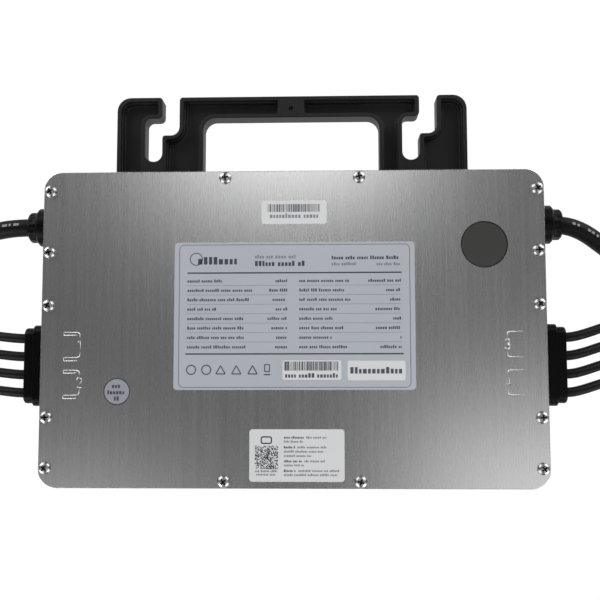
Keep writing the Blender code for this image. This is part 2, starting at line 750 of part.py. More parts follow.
def ac_connector(side, material):
    """The trunk connector on an AC lead: clamp nut, ribbed body and coupling collar."""
    length = AC_CONNECTOR_LENGTH
    body = AC_CONNECTOR_DIAMETER / 2
    nut = AC_CONNECTOR_NUT_RADIUS
    collar = AC_CONNECTOR_COLLAR_RADIUS
    mouth = AC_CONNECTOR_MOUTH_RADIUS
    profile = [
        (0, 0),
        (nut - 2.2, 0),
        (nut, 1.5),
        (nut, 17.0),
        (body, 18.5),
        (body, 42.0),
        (collar, 43.0),
        (collar, length - 1.0),
        (collar - 0.8, length),
        (mouth, length),
        (mouth, length - AC_CONNECTOR_MOUTH_DEPTH),
        (0, length - AC_CONNECTOR_MOUTH_DEPTH),
    ]
    sign = SIDES[side][0]
    place = (sign * AC_CONNECTOR_END, COIL_CENTRE[1] + COIL_RADIUS, AC_CONNECTOR_DIAMETER / 2 + 0.1)
    obj = new_object(f"ac_connector_{side}", along_x(turned(profile, 20)), material, place)
    obj.rotation_euler.z = math.pi if sign > 0 else 0.0


def coil_solid(side, entry, material):
    """The outer shape of the coiled lead, with the short runs into it and out of it."""
    sign = SIDES[side][0]
    half = AC_DIAMETER / 2 + 0.1
    low, high = COIL_RADIUS - half, COIL_RADIUS + half
    top = COIL_TURNS * COIL_PITCH + AC_DIAMETER
    edge = 3.0
    profile = [
        (low, edge),
        (low + edge, 0),
        (high - edge, 0),
        (high, edge),
        (high, top - edge),
        (high - edge, top),
        (low + edge, top),
        (low, top - edge),
    ]
    place = (sign * COIL_CENTRE[0], COIL_CENTRE[1], 0)
    obj = new_object(f"ac_lead_coil_{side}", turned(profile, 40), material, place)
    tail = smooth_curve([(sign * x, y, z) for x, y, z in TAIL_ROUTE], 5.0)[1:]
    for points in (entry, tail):
        stub = placed(tube_shape(points, AC_DIAMETER, material), -Vector(place))
        combine(obj, "UNION", stub)


def ac_leads(materials):
    """Each AC lead: a tube along the floor, the coil it runs into, and the connector on its end."""
    for side, route in AC_ROUTES.items():
        sign = SIDES[side][0]
        points = smooth_curve([(sign * x, y, z) for x, y, z in route], 8.0)
        split = next(i for i, point in enumerate(points) if abs(point.x) > AC_SPLIT)
        free, entry = points[: split + 1], points[split:-1]
        free[-1] = free[-1] - (free[-1] - free[-2]).normalized() * 2 * GAP
        tube_object(f"ac_lead_{side}", free, AC_DIAMETER, materials["black_rubber"])
        coil_solid(side, entry, materials["black_rubber"])
        ac_connector(side, materials["black_plastic"])


def dc_lead_route(side, number):
    """The route of one DC lead, from its gland to its connector."""
    start = DC_PLACE + DC_PITCH * (1.5 - number)
    end = DC_CONNECTOR_FIRST - DC_CONNECTOR_PITCH * number
    sign = SIDES[side][0]
    swing_at = 3 if sign > 0 else 4
    return [
        (sign * station[0], start + (end - start) * station[1] + station[swing_at], station[2])
        for station in DC_STATIONS
    ]


def dc_connector(name, place, sign, plug, material):
    """A round panel-lead connector: clamp nut, body, and either a socket sleeve or a slim plug nose."""
    radius = DC_CONNECTOR_DIAMETER / 2
    length = DC_CONNECTOR_LENGTH
    body = DC_CONNECTOR_BODY_RADIUS
    tip = DC_PLUG_RADIUS if plug else DC_SLEEVE_RADIUS
    profile = [
        (0, 0),
        (radius - 3.8, 0),
        (radius - 1.4, 2.0),
        (radius, 3.5),
        (radius, 16.0),
        (body, 17.5),
        (body, 38.0),
        (tip, 39.5),
        (tip, length - 1.0),
        (tip - 1.0, length),
        (0, length),
    ]
    obj = new_object(name, along_x(turned(profile, 12)), material, place)
    obj.rotation_euler.z = 0.0 if sign > 0 else math.pi


def dc_leads(materials):
    """Four leads on each side, numbered from the bracket's end, with a connector on each."""
    for side, (sign, _) in SIDES.items():
        for number in range(LEADS_PER_SIDE):
            points = smooth_curve(dc_lead_route(side, number), 12.0)
            name = f"dc_lead_{side}_{number + 1}"
            tube_object(name, points, DC_DIAMETER, materials["black_rubber"])
            across = DC_CONNECTOR_FIRST - DC_CONNECTOR_PITCH * number
            place = (sign * DC_CONNECTOR_START, across, DC_CONNECTOR_DIAMETER / 2 + 0.1)
            name = f"dc_connector_{side}_{number + 1}"
            dc_connector(name, place, sign, number % 2 == 0, materials["black_plastic"])


def rating_label(material):
    low = PLATE_TOP + FILM_GAP
    outline = rectangle(*LABEL_SIZE, LABEL_CORNER, LABEL_PLACE)
    new_object("rating_label", prism(outline, low, low + LABEL_THICKNESS, 3), material)


def main_circuit_board(material):
    outline = rectangle(BOARD_LENGTH, BOARD_WIDTH, 3.0)
    board = new_object("main_circuit_board", prism(outline, BOARD_UNDERSIDE, BOARD_TOP, 2), material)
    low, high = BOARD_UNDERSIDE - OVERREACH, BOARD_TOP + OVERREACH
    holes = [placed(cylinder(BOARD_HOLE_DIAMETER, low, high, 12), (x, y, 0)) for x, y in POST_PLACES]
    combine(board, "DIFFERENCE", joined(holes))


def potting_layer(material):
    """The cured compound between the floor and the board, around the posts and the screw blocks."""
    low, high = FLOOR_THICKNESS + GAP, BOARD_UNDERSIDE - 2 * GAP
    layer = new_object("potting_layer", prism(plate_outline(CAVITY_INSET + GAP), low, high, 3), material)
    hole = POST_DIAMETER + 2 * GAP
    holes = [
        placed(cylinder(hole, low - OVERREACH, high + OVERREACH, 12), (x, y, 0))
        for x, y in POST_PLACES
    ]
    combine(layer, "DIFFERENCE", joined(holes + bracket_screw_bosses(margin=GAP)))


def transformers(material):
    """One planar-height transformer for each input: a round winding between the core's two cheeks."""
    low, high = (PART_SEAT + height for height in WINDING_HEIGHTS)
    for i, place in enumerate(TRANSFORMER_PLACES, start=1):
        core = prism(rectangle(*CORE_SIZE, 1.0), PART_SEAT, PART_SEAT + CORE_HEIGHT, 1)
        obj = new_object(f"transformer_{i}", core, material, (*place, 0))
        combine(obj, "UNION", cylinder(WINDING_DIAMETER, low, high, 24))


def radio_board(material):
    """The antenna's own board, held up behind the window by its pin header."""
    low, high = RADIO_BOARD_HEIGHTS
    board = prism(rectangle(*RADIO_BOARD_SIZE, 1.5, WINDOW_PLACE), low, high, 2)
    header_place = (WINDOW_PLACE[0], WINDOW_PLACE[1] - HEADER_OFFSET)
    header = prism(rectangle(*HEADER_SIZE, 0, header_place), PART_SEAT, (low + high) / 2)
    obj = new_object("radio_board", board, material)
    combine(obj, "UNION", header)


def output_stage(materials):
    """The filter choke, the grid relay and the two input capacitors."""
    low, high = PART_SEAT, PART_SEAT + CHOKE_HEIGHT
    (inner, outer), edge = CHOKE_RADII, CHOKE_EDGE
    ring = [
        (inner, low + edge),
        (inner + edge, low),
        (outer - edge, low),
        (outer, low + edge),
        (outer, high - edge),
        (outer - edge, high),
        (inner + edge, high),
        (inner, high - edge),
    ]
    new_object("output_filter_choke", turned(ring, 24), materials["ferrite"], (*CHOKE_PLACE, 0))
    relay = prism(rectangle(*RELAY_SIZE, 1.0, RELAY_PLACE), low, low + RELAY_HEIGHT, 2)
    new_object("grid_relay", relay, materials["relay_blue"])
    radius, length, edge = CAPACITOR_RADIUS, CAPACITOR_LENGTH, CAPACITOR_EDGE
    can = [
        (0, 0),
        (radius - edge, 0),
        (radius, edge),
        (radius, length - edge),
        (radius - edge, length),
        (0, length),
    ]
    for i, place in enumerate(CAPACITOR_PLACES, start=1):
        shape = along_x(turned(can, 16))
        seat = (*place, low + radius + GAP)
        new_object(f"input_capacitor_{i}", shape, materials["capacitor_sleeve"], seat)


def build():
    clear_scene()
    materials = make_materials()
    rear_housing(materials["black_plastic"])
    cover_gasket(materials["seal_rubber"])
    cover_plate(materials["brushed_metal"])
    cover_screws(materials["screw_steel"])
    antenna_window(materials["window_plastic"])
    mounting_bracket(materials["black_plastic"])
    bracket_screws(materials["screw_steel"])
    for side in SIDES:
        ac_gland(side, materials["black_plastic"])
        dc_gland(side, materials["black_plastic"])
    ac_leads(materials)
    dc_leads(materials)
    rating_label(materials["label_film"])
    main_circuit_board(materials["board_green"])
    potting_layer(materials["potting_grey"])
    transformers(materials["ferrite"])
    radio_board(materials["board_green"])
    output_stage(materials)


build()
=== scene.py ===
"""Looks of the micro inverter: metal, mouldings, leads, labels, light and camera, around the CAD frame.

Shapes are worked out in millimetres, in the frame's own axes, and piece() turns them into metres.
"""

import math
import random

import bmesh
import bpy
import numpy as np
from mathutils import Matrix, Vector


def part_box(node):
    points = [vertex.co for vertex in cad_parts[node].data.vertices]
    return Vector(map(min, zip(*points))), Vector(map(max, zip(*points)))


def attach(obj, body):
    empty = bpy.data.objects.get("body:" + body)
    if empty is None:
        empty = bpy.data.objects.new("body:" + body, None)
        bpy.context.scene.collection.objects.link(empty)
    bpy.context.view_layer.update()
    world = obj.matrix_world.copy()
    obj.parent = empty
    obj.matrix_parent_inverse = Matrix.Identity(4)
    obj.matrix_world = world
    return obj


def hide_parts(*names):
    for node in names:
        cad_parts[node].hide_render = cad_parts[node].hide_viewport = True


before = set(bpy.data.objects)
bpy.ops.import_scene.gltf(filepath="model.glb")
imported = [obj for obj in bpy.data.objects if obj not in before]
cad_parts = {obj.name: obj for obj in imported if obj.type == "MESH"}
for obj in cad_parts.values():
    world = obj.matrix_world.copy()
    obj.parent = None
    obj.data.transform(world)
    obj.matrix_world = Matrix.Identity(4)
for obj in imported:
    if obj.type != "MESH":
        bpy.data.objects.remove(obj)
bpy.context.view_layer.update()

MM = 0.001
BODY = "root"
SIDES = {"right": 1, "left": -1}
SHARP_ANGLE = math.radians(38)
PAST_SURFACE = 0.013
OVERREACH = 1.0
FINE_SEGMENTS = 96
FLOOR_GLOW = 1.02


def box_mm(node):
    """The lowest and highest corners of a CAD node, in millimetres."""
    low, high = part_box(node)
    return low / MM, high / MM


PLATE_LOW, PLATE_HIGH = box_mm("cover_plate")
PLATE_LENGTH = PLATE_HIGH.x - PLATE_LOW.x
PLATE_WIDTH = PLATE_HIGH.y - PLATE_LOW.y
PLATE_TOP = PLATE_HIGH.z
PLATE_UNDERSIDE = PLATE_LOW.z
PLATE_CORNER = 10.0
RIM_TOP = PLATE_UNDERSIDE - 0.2
RIM_UNDERSIDE = 27.0
RIM_INSET = 1.0
WALL_INSET = 5.5
CAVITY_INSET = 9.5
FLOOR_THICKNESS = 3.0

BRACKET_LOW, BRACKET_HIGH = box_mm("mounting_bracket")
BRACKET_CENTRE = (BRACKET_LOW.x + BRACKET_HIGH.x) / 2
BRACKET_HALF_WIDTH = (BRACKET_HIGH.x - BRACKET_LOW.x) / 2
BRACKET_TOP = BRACKET_HIGH.y
BRACKET_REAR = BRACKET_LOW.z
BRACKET_FRONT = BRACKET_HIGH.z
BRACKET_FOOT = BRACKET_LOW.y
BRACKET_FOOT_TOP = 90.5
ARM_UNDERSIDE = 123.6
SLOT_STEP = 113.6
SLOT_FLOOR = 98.0
SLOT_WIDTH = 10.0
SLOT_STARTS = (-85.4, 64.5)
HANDLE_HALF_WIDTH = 51.2
RIB_WIDTH = 2.4
CENTRE_BLOCK_HALF_WIDTH = 7.6
HANDLE_CORNER = 7.0
BRACKET_EDGE = 0.8
LEDGE_DEPTH = 3.4
LEDGE_WIDTH = 0.9
WEB_DEPTH = 6.0
DIMPLE_DROP = 7.2

GLAND_HEIGHT = 15.0
AC_PLACE = 59.5
AC_DIAMETER = 10.3
DC_PLACE = -20.6
DC_PITCH = 10.35
DC_DIAMETER = 5.5
LEADS_PER_SIDE = 4
COIL_CENTRE = (310.0, 62.0)
COIL_RADIUS = 52.0
COIL_TURNS = 2.5
COIL_PITCH = AC_DIAMETER + 0.1
POINTS_PER_TURN = 24
CORD_SPACING = 6.6
TIE_ANGLE = 30.0
TIE_HALF_WIDTH = 6.0

# Routes as (distance from the centre, y, z): the leads leave both ends of the housing
AC_ROUTES = {
    "right": [
        (151.0, 59.3, 15.0), (154.1, 59.0, 15.0), (159.0, 57.9, 14.8), (166.0, 55.2, 13.9),
        (175.0, 49.6, 12.0), (186.0, 42.0, 9.3), (198.0, 34.0, 7.0), (212.0, 26.6, 5.6),
        (228.0, 19.8, 5.2), (248.0, 13.6, 5.2), (275.0, 10.5, 5.2), (310.0, 10.0, 5.2),
    ],
    "left": [
        (151.0, 59.5, 15.0), (153.3, 59.5, 15.0), (159.0, 59.4, 14.9), (167.0, 58.8, 14.1),
        (178.0, 57.0, 12.0), (192.0, 52.3, 8.6), (207.0, 44.2, 6.0), (222.0, 34.2, 5.2),
        (240.0, 23.2, 5.2), (262.0, 14.4, 5.2), (285.0, 10.8, 5.2), (310.0, 10.0, 5.2),
    ],
}
TAIL_ROUTE = [
    (310.0, 114.0, 31.2), (301.0, 114.0, 30.4), (291.0, 114.0, 27.4), (281.0, 114.0, 22.0),
    (272.0, 114.0, 16.7), (264.0, 114.0, 13.5), (259.0, 114.0, 12.65), (252.0, 114.0, 12.6),
]
# Each station: distance from the centre, share of the way to the connector's own place
# across, height, and how far the leads swing across on the right and on the left.
DC_STATIONS = [
    (151.0, 0.00, 15.0, 0.0, 0.0), (154.3, 0.00, 15.0, 0.0, 0.0), (158.5, 0.00, 14.7, 0.5, 0.2),
    (166.0, 0.00, 13.3, 2.3, 0.9), (175.0, 0.01, 10.6, 5.3, 2.1), (186.0, 0.05, 7.0, 8.6, 3.4),
    (198.0, 0.13, 4.2, 10.7, 4.2), (211.0, 0.26, 2.9, 10.6, 4.2), (226.0, 0.43, 2.8, 8.4, 3.4),
    (242.0, 0.62, 2.8, 5.0, 2.0), (259.0, 0.79, 2.9, 2.0, 0.8), (277.0, 0.92, 4.1, 0.4, 0.1),
    (296.0, 0.99, 7.2, 0.0, 0.0), (313.7, 1.00, 9.1, 0.0, 0.0), (315.0, 1.00, 9.1, 0.0, 0.0),
]
DC_CONNECTOR_FIRST = -17.5
DC_CONNECTOR_PITCH = 19.0
NOSE_RADIUS = 5.0
SLEEVE_RADIUS = 7.6
PIN_CIRCLE = 3.6


# ---- camera and light


def make_camera():
    """Looks down at the cover plate, a little from the right and from the foot."""
    data = bpy.data.cameras.new("camera")
    data.lens = 54.4
    data.clip_start = 0.01
    camera = bpy.data.objects.new("camera", data)
    camera.location = (0.0198, -0.0286, 0.5330)
    camera.rotation_euler = [math.radians(a) for a in (5.0, 1.77, -0.06)]
    bpy.context.scene.collection.objects.link(camera)
    bpy.context.scene.camera = camera
    bpy.context.scene.view_settings.view_transform = "Standard"


def area_light(name, place, target, size, power):
    data = bpy.data.lights.new(name, "AREA")
    data.shape = "RECTANGLE"
    data.size, data.size_y = size
    data.energy = power
    light = bpy.data.objects.new(name, data)
    light.location = place
    light.rotation_euler = (Vector(target) - Vector(place)).to_track_quat("-Z", "Y").to_euler()
    light.visible_camera = False
    bpy.context.scene.collection.objects.link(light)


DOME_STRENGTH = 0.07
SIDE_LIGHT_REACH = 2.3
SIDE_LIGHT_HEIGHT = 1.0
SIDE_LIGHT_SIZE = (1.6, 1.6)
SIDE_LIGHT_POWER = 46.0
PANEL_HEIGHT = 2.03
# The dim panels: name, place over the floor, size and power
PANELS = (
    ("panel_top", (-0.09, 0.74), (0.63, 0.41), 2.75),
    ("panel_right", (0.78, -0.48), (1.03, 0.65), 3.1),
    ("panel_left", (-0.78, -0.64), (0.9, 0.6), 1.5),
)


def make_light():
    """A grey dome, four soft lights from low round the object, and dim panels that the plate mirrors."""
    world = bpy.data.worlds.new("studio")
    bpy.context.scene.world = world
    world.use_nodes = True
    background = world.node_tree.nodes["Background"]
    background.inputs["Color"].default_value = (1.0, 1.0, 1.0, 1.0)
    background.inputs["Strength"].default_value = DOME_STRENGTH
    for i in range(4):
        angle = math.radians(45 + 90 * i)
        place = (SIDE_LIGHT_REACH * math.cos(angle), SIDE_LIGHT_REACH * math.sin(angle), SIDE_LIGHT_HEIGHT)
        area_light(f"side_{i + 1}", place, (0, 0, 0), SIDE_LIGHT_SIZE, SIDE_LIGHT_POWER)
    for name, (x, y), size, power in PANELS:
        area_light(name, (x, y, PANEL_HEIGHT), (x, y, 0), size, power)


# ---- materials


def new_material(name):
    """A material, its node tree and its shader."""
    material = bpy.data.materials.new(name)
    material.use_nodes = True
    tree = material.node_tree
    return material, tree, tree.nodes["Principled BSDF"]


def fill(tree, node, values):
    """Links the inputs given as sockets, sets the others, and returns the node's outputs."""
    for name, value in values.items():
        if isinstance(value, bpy.types.NodeSocket):
            tree.links.new(value, node.inputs[name])
        else:
            node.inputs[name].default_value = value
    return node.outputs


def add(tree, kind, values):
    return fill(tree, tree.nodes.new(f"ShaderNode{kind}"), values)


def grain(tree, scale, stretch=(1, 1, 1), detail=4.0, roughness=0.55):
    """A noise in the object's own coordinates, its scale in cells per metre."""
    place = add(tree, "TexCoord", {})["Object"]
    stretched = add(tree, "Mapping", {"Scale": stretch, "Vector": place})["Vector"]
    noise = {"Scale": scale, "Detail": detail, "Roughness": roughness, "Vector": stretched}
    return add(tree, "TexNoise", noise)["Fac"]


GRAIN_RANGE = (0.3, 0.7)


def ramp(tree, source, low, high):
    """Turns a noise into colours between two ends."""
    node = tree.nodes.new("ShaderNodeValToRGB")
    for stop, position, colour in zip(node.color_ramp.elements, GRAIN_RANGE, (low, high)):
        stop.position = position
        stop.color = (*colour, 1.0)
    return fill(tree, node, {"Fac": source})["Color"]


def spread(tree, source, low, high):
    """Turns a noise into a number between two ends."""
    values = {"Value": source, "From Min": GRAIN_RANGE[0], "From Max": GRAIN_RANGE[1]}
    return add(tree, "MapRange", {**values, "To Min": low, "To Max": high})["Result"]


def bump(tree, source, depth):
    """The normal of a relief of this depth, in metres."""
    return add(tree, "Bump", {"Distance": depth, "Height": source})["Normal"]


def surface(name, colour, roughness, metallic=0.0, scale=900.0, depth=2e-5, variation=0.12, blotch=25.0,
            specular=0.5):
    """A material with fine relief, and colour and gloss that vary over the surface."""
    material, tree, shader = new_material(name)
    fine = grain(tree, scale)
    low = [c * (1 - variation) for c in colour]
    high = [c * (1 + variation) for c in colour]
    fill(tree, shader, {
        "Metallic": metallic,
        "Specular IOR Level": specular,
        "Base Color": ramp(tree, grain(tree, blotch, detail=3.0), low, high),
        "Roughness": spread(tree, fine, roughness * 0.88, roughness * 1.14),
        "Normal": bump(tree, fine, depth),
    })
    return material


STREAK_SHARE = 0.45


def brushed_metal():
    """Sheet brushed along Y: long fine scratches in colour, gloss and relief."""
    material, tree, shader = new_material("brushed_metal")
    lines = grain(tree, 1.0, (2600.0, 26.0, 40.0), detail=5.0, roughness=0.7)
    streaks = grain(tree, 1.0, (420.0, 5.0, 8.0), detail=3.0)
    both = add(tree, "Mix", {"Factor": STREAK_SHARE, "A": lines, "B": streaks})["Result"]
    fill(tree, shader, {
        "Metallic": 1.0,
        "Base Color": ramp(tree, both, (0.535, 0.535, 0.54), (0.595, 0.595, 0.60)),
        "Roughness": spread(tree, both, 0.26, 0.285),
        "Normal": bump(tree, lines, 4e-6),
    })
    return material


def circuit_board():
    """Solder mask with the lighter copper tracks under it."""
    material, tree, shader = new_material("board_green")
    tracks = add(tree, "TexBrick", {
        "Scale": 90.0,
        "Mortar Size": 0.05,
        "Color1": (0.012, 0.085, 0.035, 1.0),
        "Color2": (0.016, 0.11, 0.045, 1.0),
        "Mortar": (0.03, 0.20, 0.08, 1.0),
        "Vector": add(tree, "TexCoord", {})["Object"],
    })
    fill(tree, shader, {
        "Base Color": tracks["Color"],
        "Roughness": spread(tree, grain(tree, 700.0), 0.3, 0.42),
        "Normal": bump(tree, tracks["Fac"], 3e-5),
    })
    return material


def floor_light():
    """A lit sheet: the same white everywhere, with no shadow on it."""
    material, tree, shader = new_material("floor_light")
    fill(tree, shader, {
        "Base Color": (0.0, 0.0, 0.0, 1.0),
        "Roughness": 1.0,
        "Specular IOR Level": 0.0,
        "Emission Color": (1.0, 1.0, 1.0, 1.0),
        "Emission Strength": FLOOR_GLOW,
    })
    return material


STEEL = dict(metallic=1.0, scale=600.0, depth=6e-6)
FILM = dict(scale=500.0, depth=5e-6, variation=0.03)
INK_GRAIN = dict(depth=2e-6)
# Each plain material: colour, roughness, and what differs from surface()'s own values
SURFACES = {
    "black_plastic": ((0.0075, 0.0075, 0.008), 0.50, dict(scale=1400.0, depth=3e-5, specular=0.24)),
    "gland_plastic": ((0.0010, 0.0010, 0.0012), 0.36, dict(scale=700.0, depth=1.5e-5, specular=0.10)),
    "connector_plastic": ((0.007, 0.007, 0.0073), 0.45, dict(scale=1100.0, specular=0.35)),
    "window_plastic": ((0.0145, 0.0145, 0.0136), 0.6, dict(scale=2600.0, depth=4e-5)),
    "black_rubber": ((0.0016, 0.0016, 0.0018), 0.50, dict(scale=420.0, depth=1.5e-5, specular=0.13)),
    "seal_rubber": ((0.05, 0.05, 0.05), 0.8, {}),
    "screw_steel": ((0.40, 0.395, 0.385), 0.33, STEEL),
    # painted shade: the dark metal laid on the faces inside the screw recesses
    "recess_shade": ((0.035, 0.035, 0.034), 0.5, STEEL),
    "strike_metal": ((0.50, 0.50, 0.50), 0.36, dict(metallic=1.0, depth=4e-6)),
    "label_film": ((0.320, 0.338, 0.370), 0.42, dict(blotch=12.0, **FILM)),
    "white_film": ((0.500, 0.504, 0.516), 0.45, dict(blotch=14.0, **FILM)),
    "stamp_film": ((0.215, 0.226, 0.248), 0.45, dict(blotch=20.0, **{**FILM, "variation": 0.04})),
    "ink_dark": ((0.030, 0.032, 0.042), 0.5, INK_GRAIN),
    "ink_text": ((0.048, 0.051, 0.062), 0.5, INK_GRAIN),
    "ink_grey": ((0.150, 0.158, 0.180), 0.5, INK_GRAIN),
    "jacket_print": ((0.17, 0.17, 0.175), 0.5, INK_GRAIN),
    "potting_grey": ((0.16, 0.16, 0.17), 0.6, dict(scale=120.0, depth=1e-4)),
    "ferrite": ((0.06, 0.06, 0.065), 0.55, dict(metallic=0.2, scale=800.0)),
    "relay_blue": ((0.05, 0.12, 0.35), 0.4, {}),
    "capacitor_sleeve": ((0.02, 0.02, 0.05), 0.3, dict(scale=500.0)),
}


def make_materials():
    made = {name: surface(name, colour, rough, **rest) for name, (colour, rough, rest) in SURFACES.items()}
    made["brushed_metal"] = brushed_metal()
    made["board_green"] = circuit_board()
    made["floor_light"] = floor_light()
    return made


# ---- shapes


def corner_frame(corners, i):
    """A corner, the directions to its neighbours, half the angle between them, and if it is convex."""
    corner = Vector(corners[i][:2])
    back = (Vector(corners[i - 1][:2]) - corner).normalized()
    ahead = (Vector(corners[(i + 1) % len(corners)][:2]) - corner).normalized()
    return corner, back, ahead, back.angle(ahead) / 2, ahead.cross(back) > 0


def arc_at(corner, back, ahead, half, convex, radius, steps):
    """The points that round off one corner."""
    if radius == 0:
        return [corner]
    centre = corner + (back + ahead).normalized() * radius / math.sin(half)
    start = corner + back * radius / math.tan(half) - centre
    turn = (math.pi - 2 * half) * (1 if convex else -1)
    return [centre + Matrix.Rotation(turn * k / steps, 2) @ start for k in range(steps + 1)]


def rounded(corners, steps):
    """The points of a counterclockwise outline of (x, y, radius) corners, each rounded by an arc."""
    points = []
    for i, (_, _, radius) in enumerate(corners):
        points += arc_at(*corner_frame(corners, i), radius, steps)
    return points


def inset(corners, distance):
    """The corners of a counterclockwise outline moved inwards, with each round corner's centre kept."""
    moved = []
    for i, (_, _, radius) in enumerate(corners):
        corner, back, ahead, half, convex = corner_frame(corners, i)
        side = 1 if convex else -1
        corner += (back + ahead).normalized() * side * distance / math.sin(half)
        moved.append((corner.x, corner.y, max(radius - side * distance, 0.05) if radius else 0))
    return moved


def rectangle(length, width, radius, centre=(0.0, 0.0)):
    """The corners of a rounded rectangle, counterclockwise."""
    signs = ((-1, -1), (1, -1), (1, 1), (-1, 1))
    return [(centre[0] + x * length / 2, centre[1] + y * width / 2, radius) for x, y in signs]


def loft(corners, sections, steps=8):
    """A solid through one outline at several (inset, height) sections, from the lowest up."""
    bm = bmesh.new()
    rings = []
    for distance, height in sections:
        points = rounded(inset(corners, distance), steps)
        rings.append([bm.verts.new((p.x, p.y, height)) for p in points])
    bm.faces.new(rings[0])
    bm.faces.new(rings[-1])
    for lower, upper in zip(rings, rings[1:]):
        for i in range(len(lower)):
            bm.faces.new((lower[i - 1], lower[i], upper[i], upper[i - 1]))
    bmesh.ops.recalc_face_normals(bm, faces=bm.faces)
    return bm


def quarter(edge, height, upwards, arcs=4):
    """The sections of a rounded edge: the bottom one of a solid, or the top one."""
    made = []
    for k in range(arcs + 1):
        angle = math.pi / 2 * k / arcs
        if upwards:
            made.append((edge * (1 - math.cos(angle)), height - edge * (1 - math.sin(angle))))
        else:
            made.append((edge * (1 - math.sin(angle)), height + edge * (1 - math.cos(angle))))
    return made


def slab(corners, low, high, edge, steps=8, bottom_edge=None):
    """A plate with rounded edges."""
    lower = quarter(edge if bottom_edge is None else bottom_edge, low, False)
    return loft(corners, lower + quarter(edge, high, True), steps)


def flared(edge, height, upwards, arcs=3):
    """The sections of a mouth that widens with a rounded edge: quarter()'s, turned outwards."""
    return [(-distance, level) for distance, level in quarter(edge, height, upwards, arcs)]


def hollow_cutter(corners, floor, mouth, fillet, flare, steps=8):
    """What a pocket takes away: a filleted floor and a mouth that rounds over at the surface."""
    mouth += PAST_SURFACE
    sections = quarter(fillet, floor, False) + flared(flare, mouth, True)
    return loft(corners, sections + [(-flare, mouth + OVERREACH)], steps)


def through_cutter(corners, low, high, flare, steps):
    """What a hole takes away, with rounded edges at both faces."""
    low -= PAST_SURFACE
    high += PAST_SURFACE
    sections = flared(flare, low, False) + flared(flare, high, True)
    return loft(corners, [(-flare, low - OVERREACH), *sections, (-flare, high + OVERREACH)], steps)


def rounded_path(corners, steps=4):
    """An open path of (x, y, radius) corners, each rounded by an arc. Its ends stay as they are."""
    points = [Vector(corners[0][:2])]
    for i in range(1, len(corners) - 1):
        points += arc_at(*corner_frame(corners, i), corners[i][2], steps)
    return points + [Vector(corners[-1][:2])]


def turned(profile, segments=48):
    """A solid of revolution about Z from a path of (radius, height, rounding) corners."""
    bm = bmesh.new()
    verts = [bm.verts.new((max(p.x, 0.0), 0, p.y)) for p in rounded_path(profile)]
    edges = [bm.edges.new(pair) for pair in zip(verts, verts[1:])]
    if profile[0][0] > 0:
        edges.append(bm.edges.new((verts[-1], verts[0])))
    bmesh.ops.spin(
        bm, geom=verts + edges, cent=(0, 0, 0), axis=(0, 0, 1), angle=2 * math.pi, steps=segments
    )
    bmesh.ops.remove_doubles(bm, verts=bm.verts, dist=1e-4)
    bmesh.ops.recalc_face_normals(bm, faces=bm.faces)
    return bm


def ribbed(bm, low, high, count, depth):
    """Draws the surface between two heights in between evenly spaced ribs about Z."""
    for vert in bm.verts:
        if low < vert.co.z < high:
            wave = 0.5 - 0.5 * math.cos(count * math.atan2(vert.co.y, vert.co.x))
            radius = math.hypot(vert.co.x, vert.co.y)
            shrink = 1 - depth * wave / max(radius, depth)
            vert.co.x *= shrink
            vert.co.y *= shrink
    return bm


def ring_plate(corners, width, low, high, steps=6):
    """A thin frame that follows an outline."""
    outer = rounded(corners, steps)
    inner = rounded(inset(corners, width), steps)
    bm = bmesh.new()
    sections = []
    for out, into in zip(outer, inner):
        section = [(out, low), (into, low), (into, high), (out, high)]
        sections.append([bm.verts.new((point.x, point.y, height)) for point, height in section])
    for here, following in zip(sections, sections[1:] + sections[:1]):
        for i in range(4):
            bm.faces.new((here[i], here[i - 1], following[i - 1], following[i]))
    bmesh.ops.recalc_face_normals(bm, faces=bm.faces)
    return bm


def placed(bm, location=(0, 0, 0), turn=None):
    """Turns a shape about the origin, then moves it."""
    matrix = Matrix.Translation(location) @ (turn or Matrix.Identity(4))
    bmesh.ops.transform(bm, matrix=matrix, verts=bm.verts)
    return bm


def about(axis, degrees):
    return Matrix.Rotation(math.radians(degrees), 4, axis)


def joined(shapes):
    """Several shapes as one mesh."""
    whole = bmesh.new()
    for shape in shapes:
        mesh = bpy.data.meshes.new("joined")
        shape.to_mesh(mesh)
        shape.free()
        whole.from_mesh(mesh)
        bpy.data.meshes.remove(mesh)
    return whole


def helper(name, bm):
    """A plain mesh object in metres, not yet a piece."""
    mesh = bpy.data.meshes.new(name)
    bmesh.ops.scale(bm, vec=(MM, MM, MM), verts=bm.verts)
    bm.to_mesh(mesh)
    bm.free()
    obj = bpy.data.objects.new(name, mesh)
    bpy.context.scene.collection.objects.link(obj)
    return obj


def cut(obj, operation, bm):
    """Adds or cuts away a shape and keeps the result in the object's own mesh."""
    tool = helper("tool", bm)
    modifier = obj.modifiers.new(operation, "BOOLEAN")
    modifier.operation = operation
    modifier.solver = "MANIFOLD"
    modifier.object = tool
    graph = bpy.context.evaluated_depsgraph_get()
    result = bpy.data.meshes.new_from_object(obj.evaluated_get(graph))
    obj.modifiers.clear()
    obj.data = result
    bpy.data.objects.remove(tool)


def finished(obj, material, replaces=()):
    """Shades a shape, gives it its material and its body, and hides the CAD parts it replaces."""
    obj.data.materials.clear()
    obj.data.materials.append(MATERIALS[material])
    obj.data.shade_smooth()
    obj.data.set_sharp_from_angle(angle=SHARP_ANGLE)
    weighted = obj.modifiers.new("weighted_normals", "WEIGHTED_NORMAL")
    weighted.keep_sharp = True
    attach(obj, BODY)
    if replaces:
        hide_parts(*replaces)
    return obj


def piece(name, bm, material, replaces=()):
    return finished(helper(name, bm), material, replaces)


# ---- leads


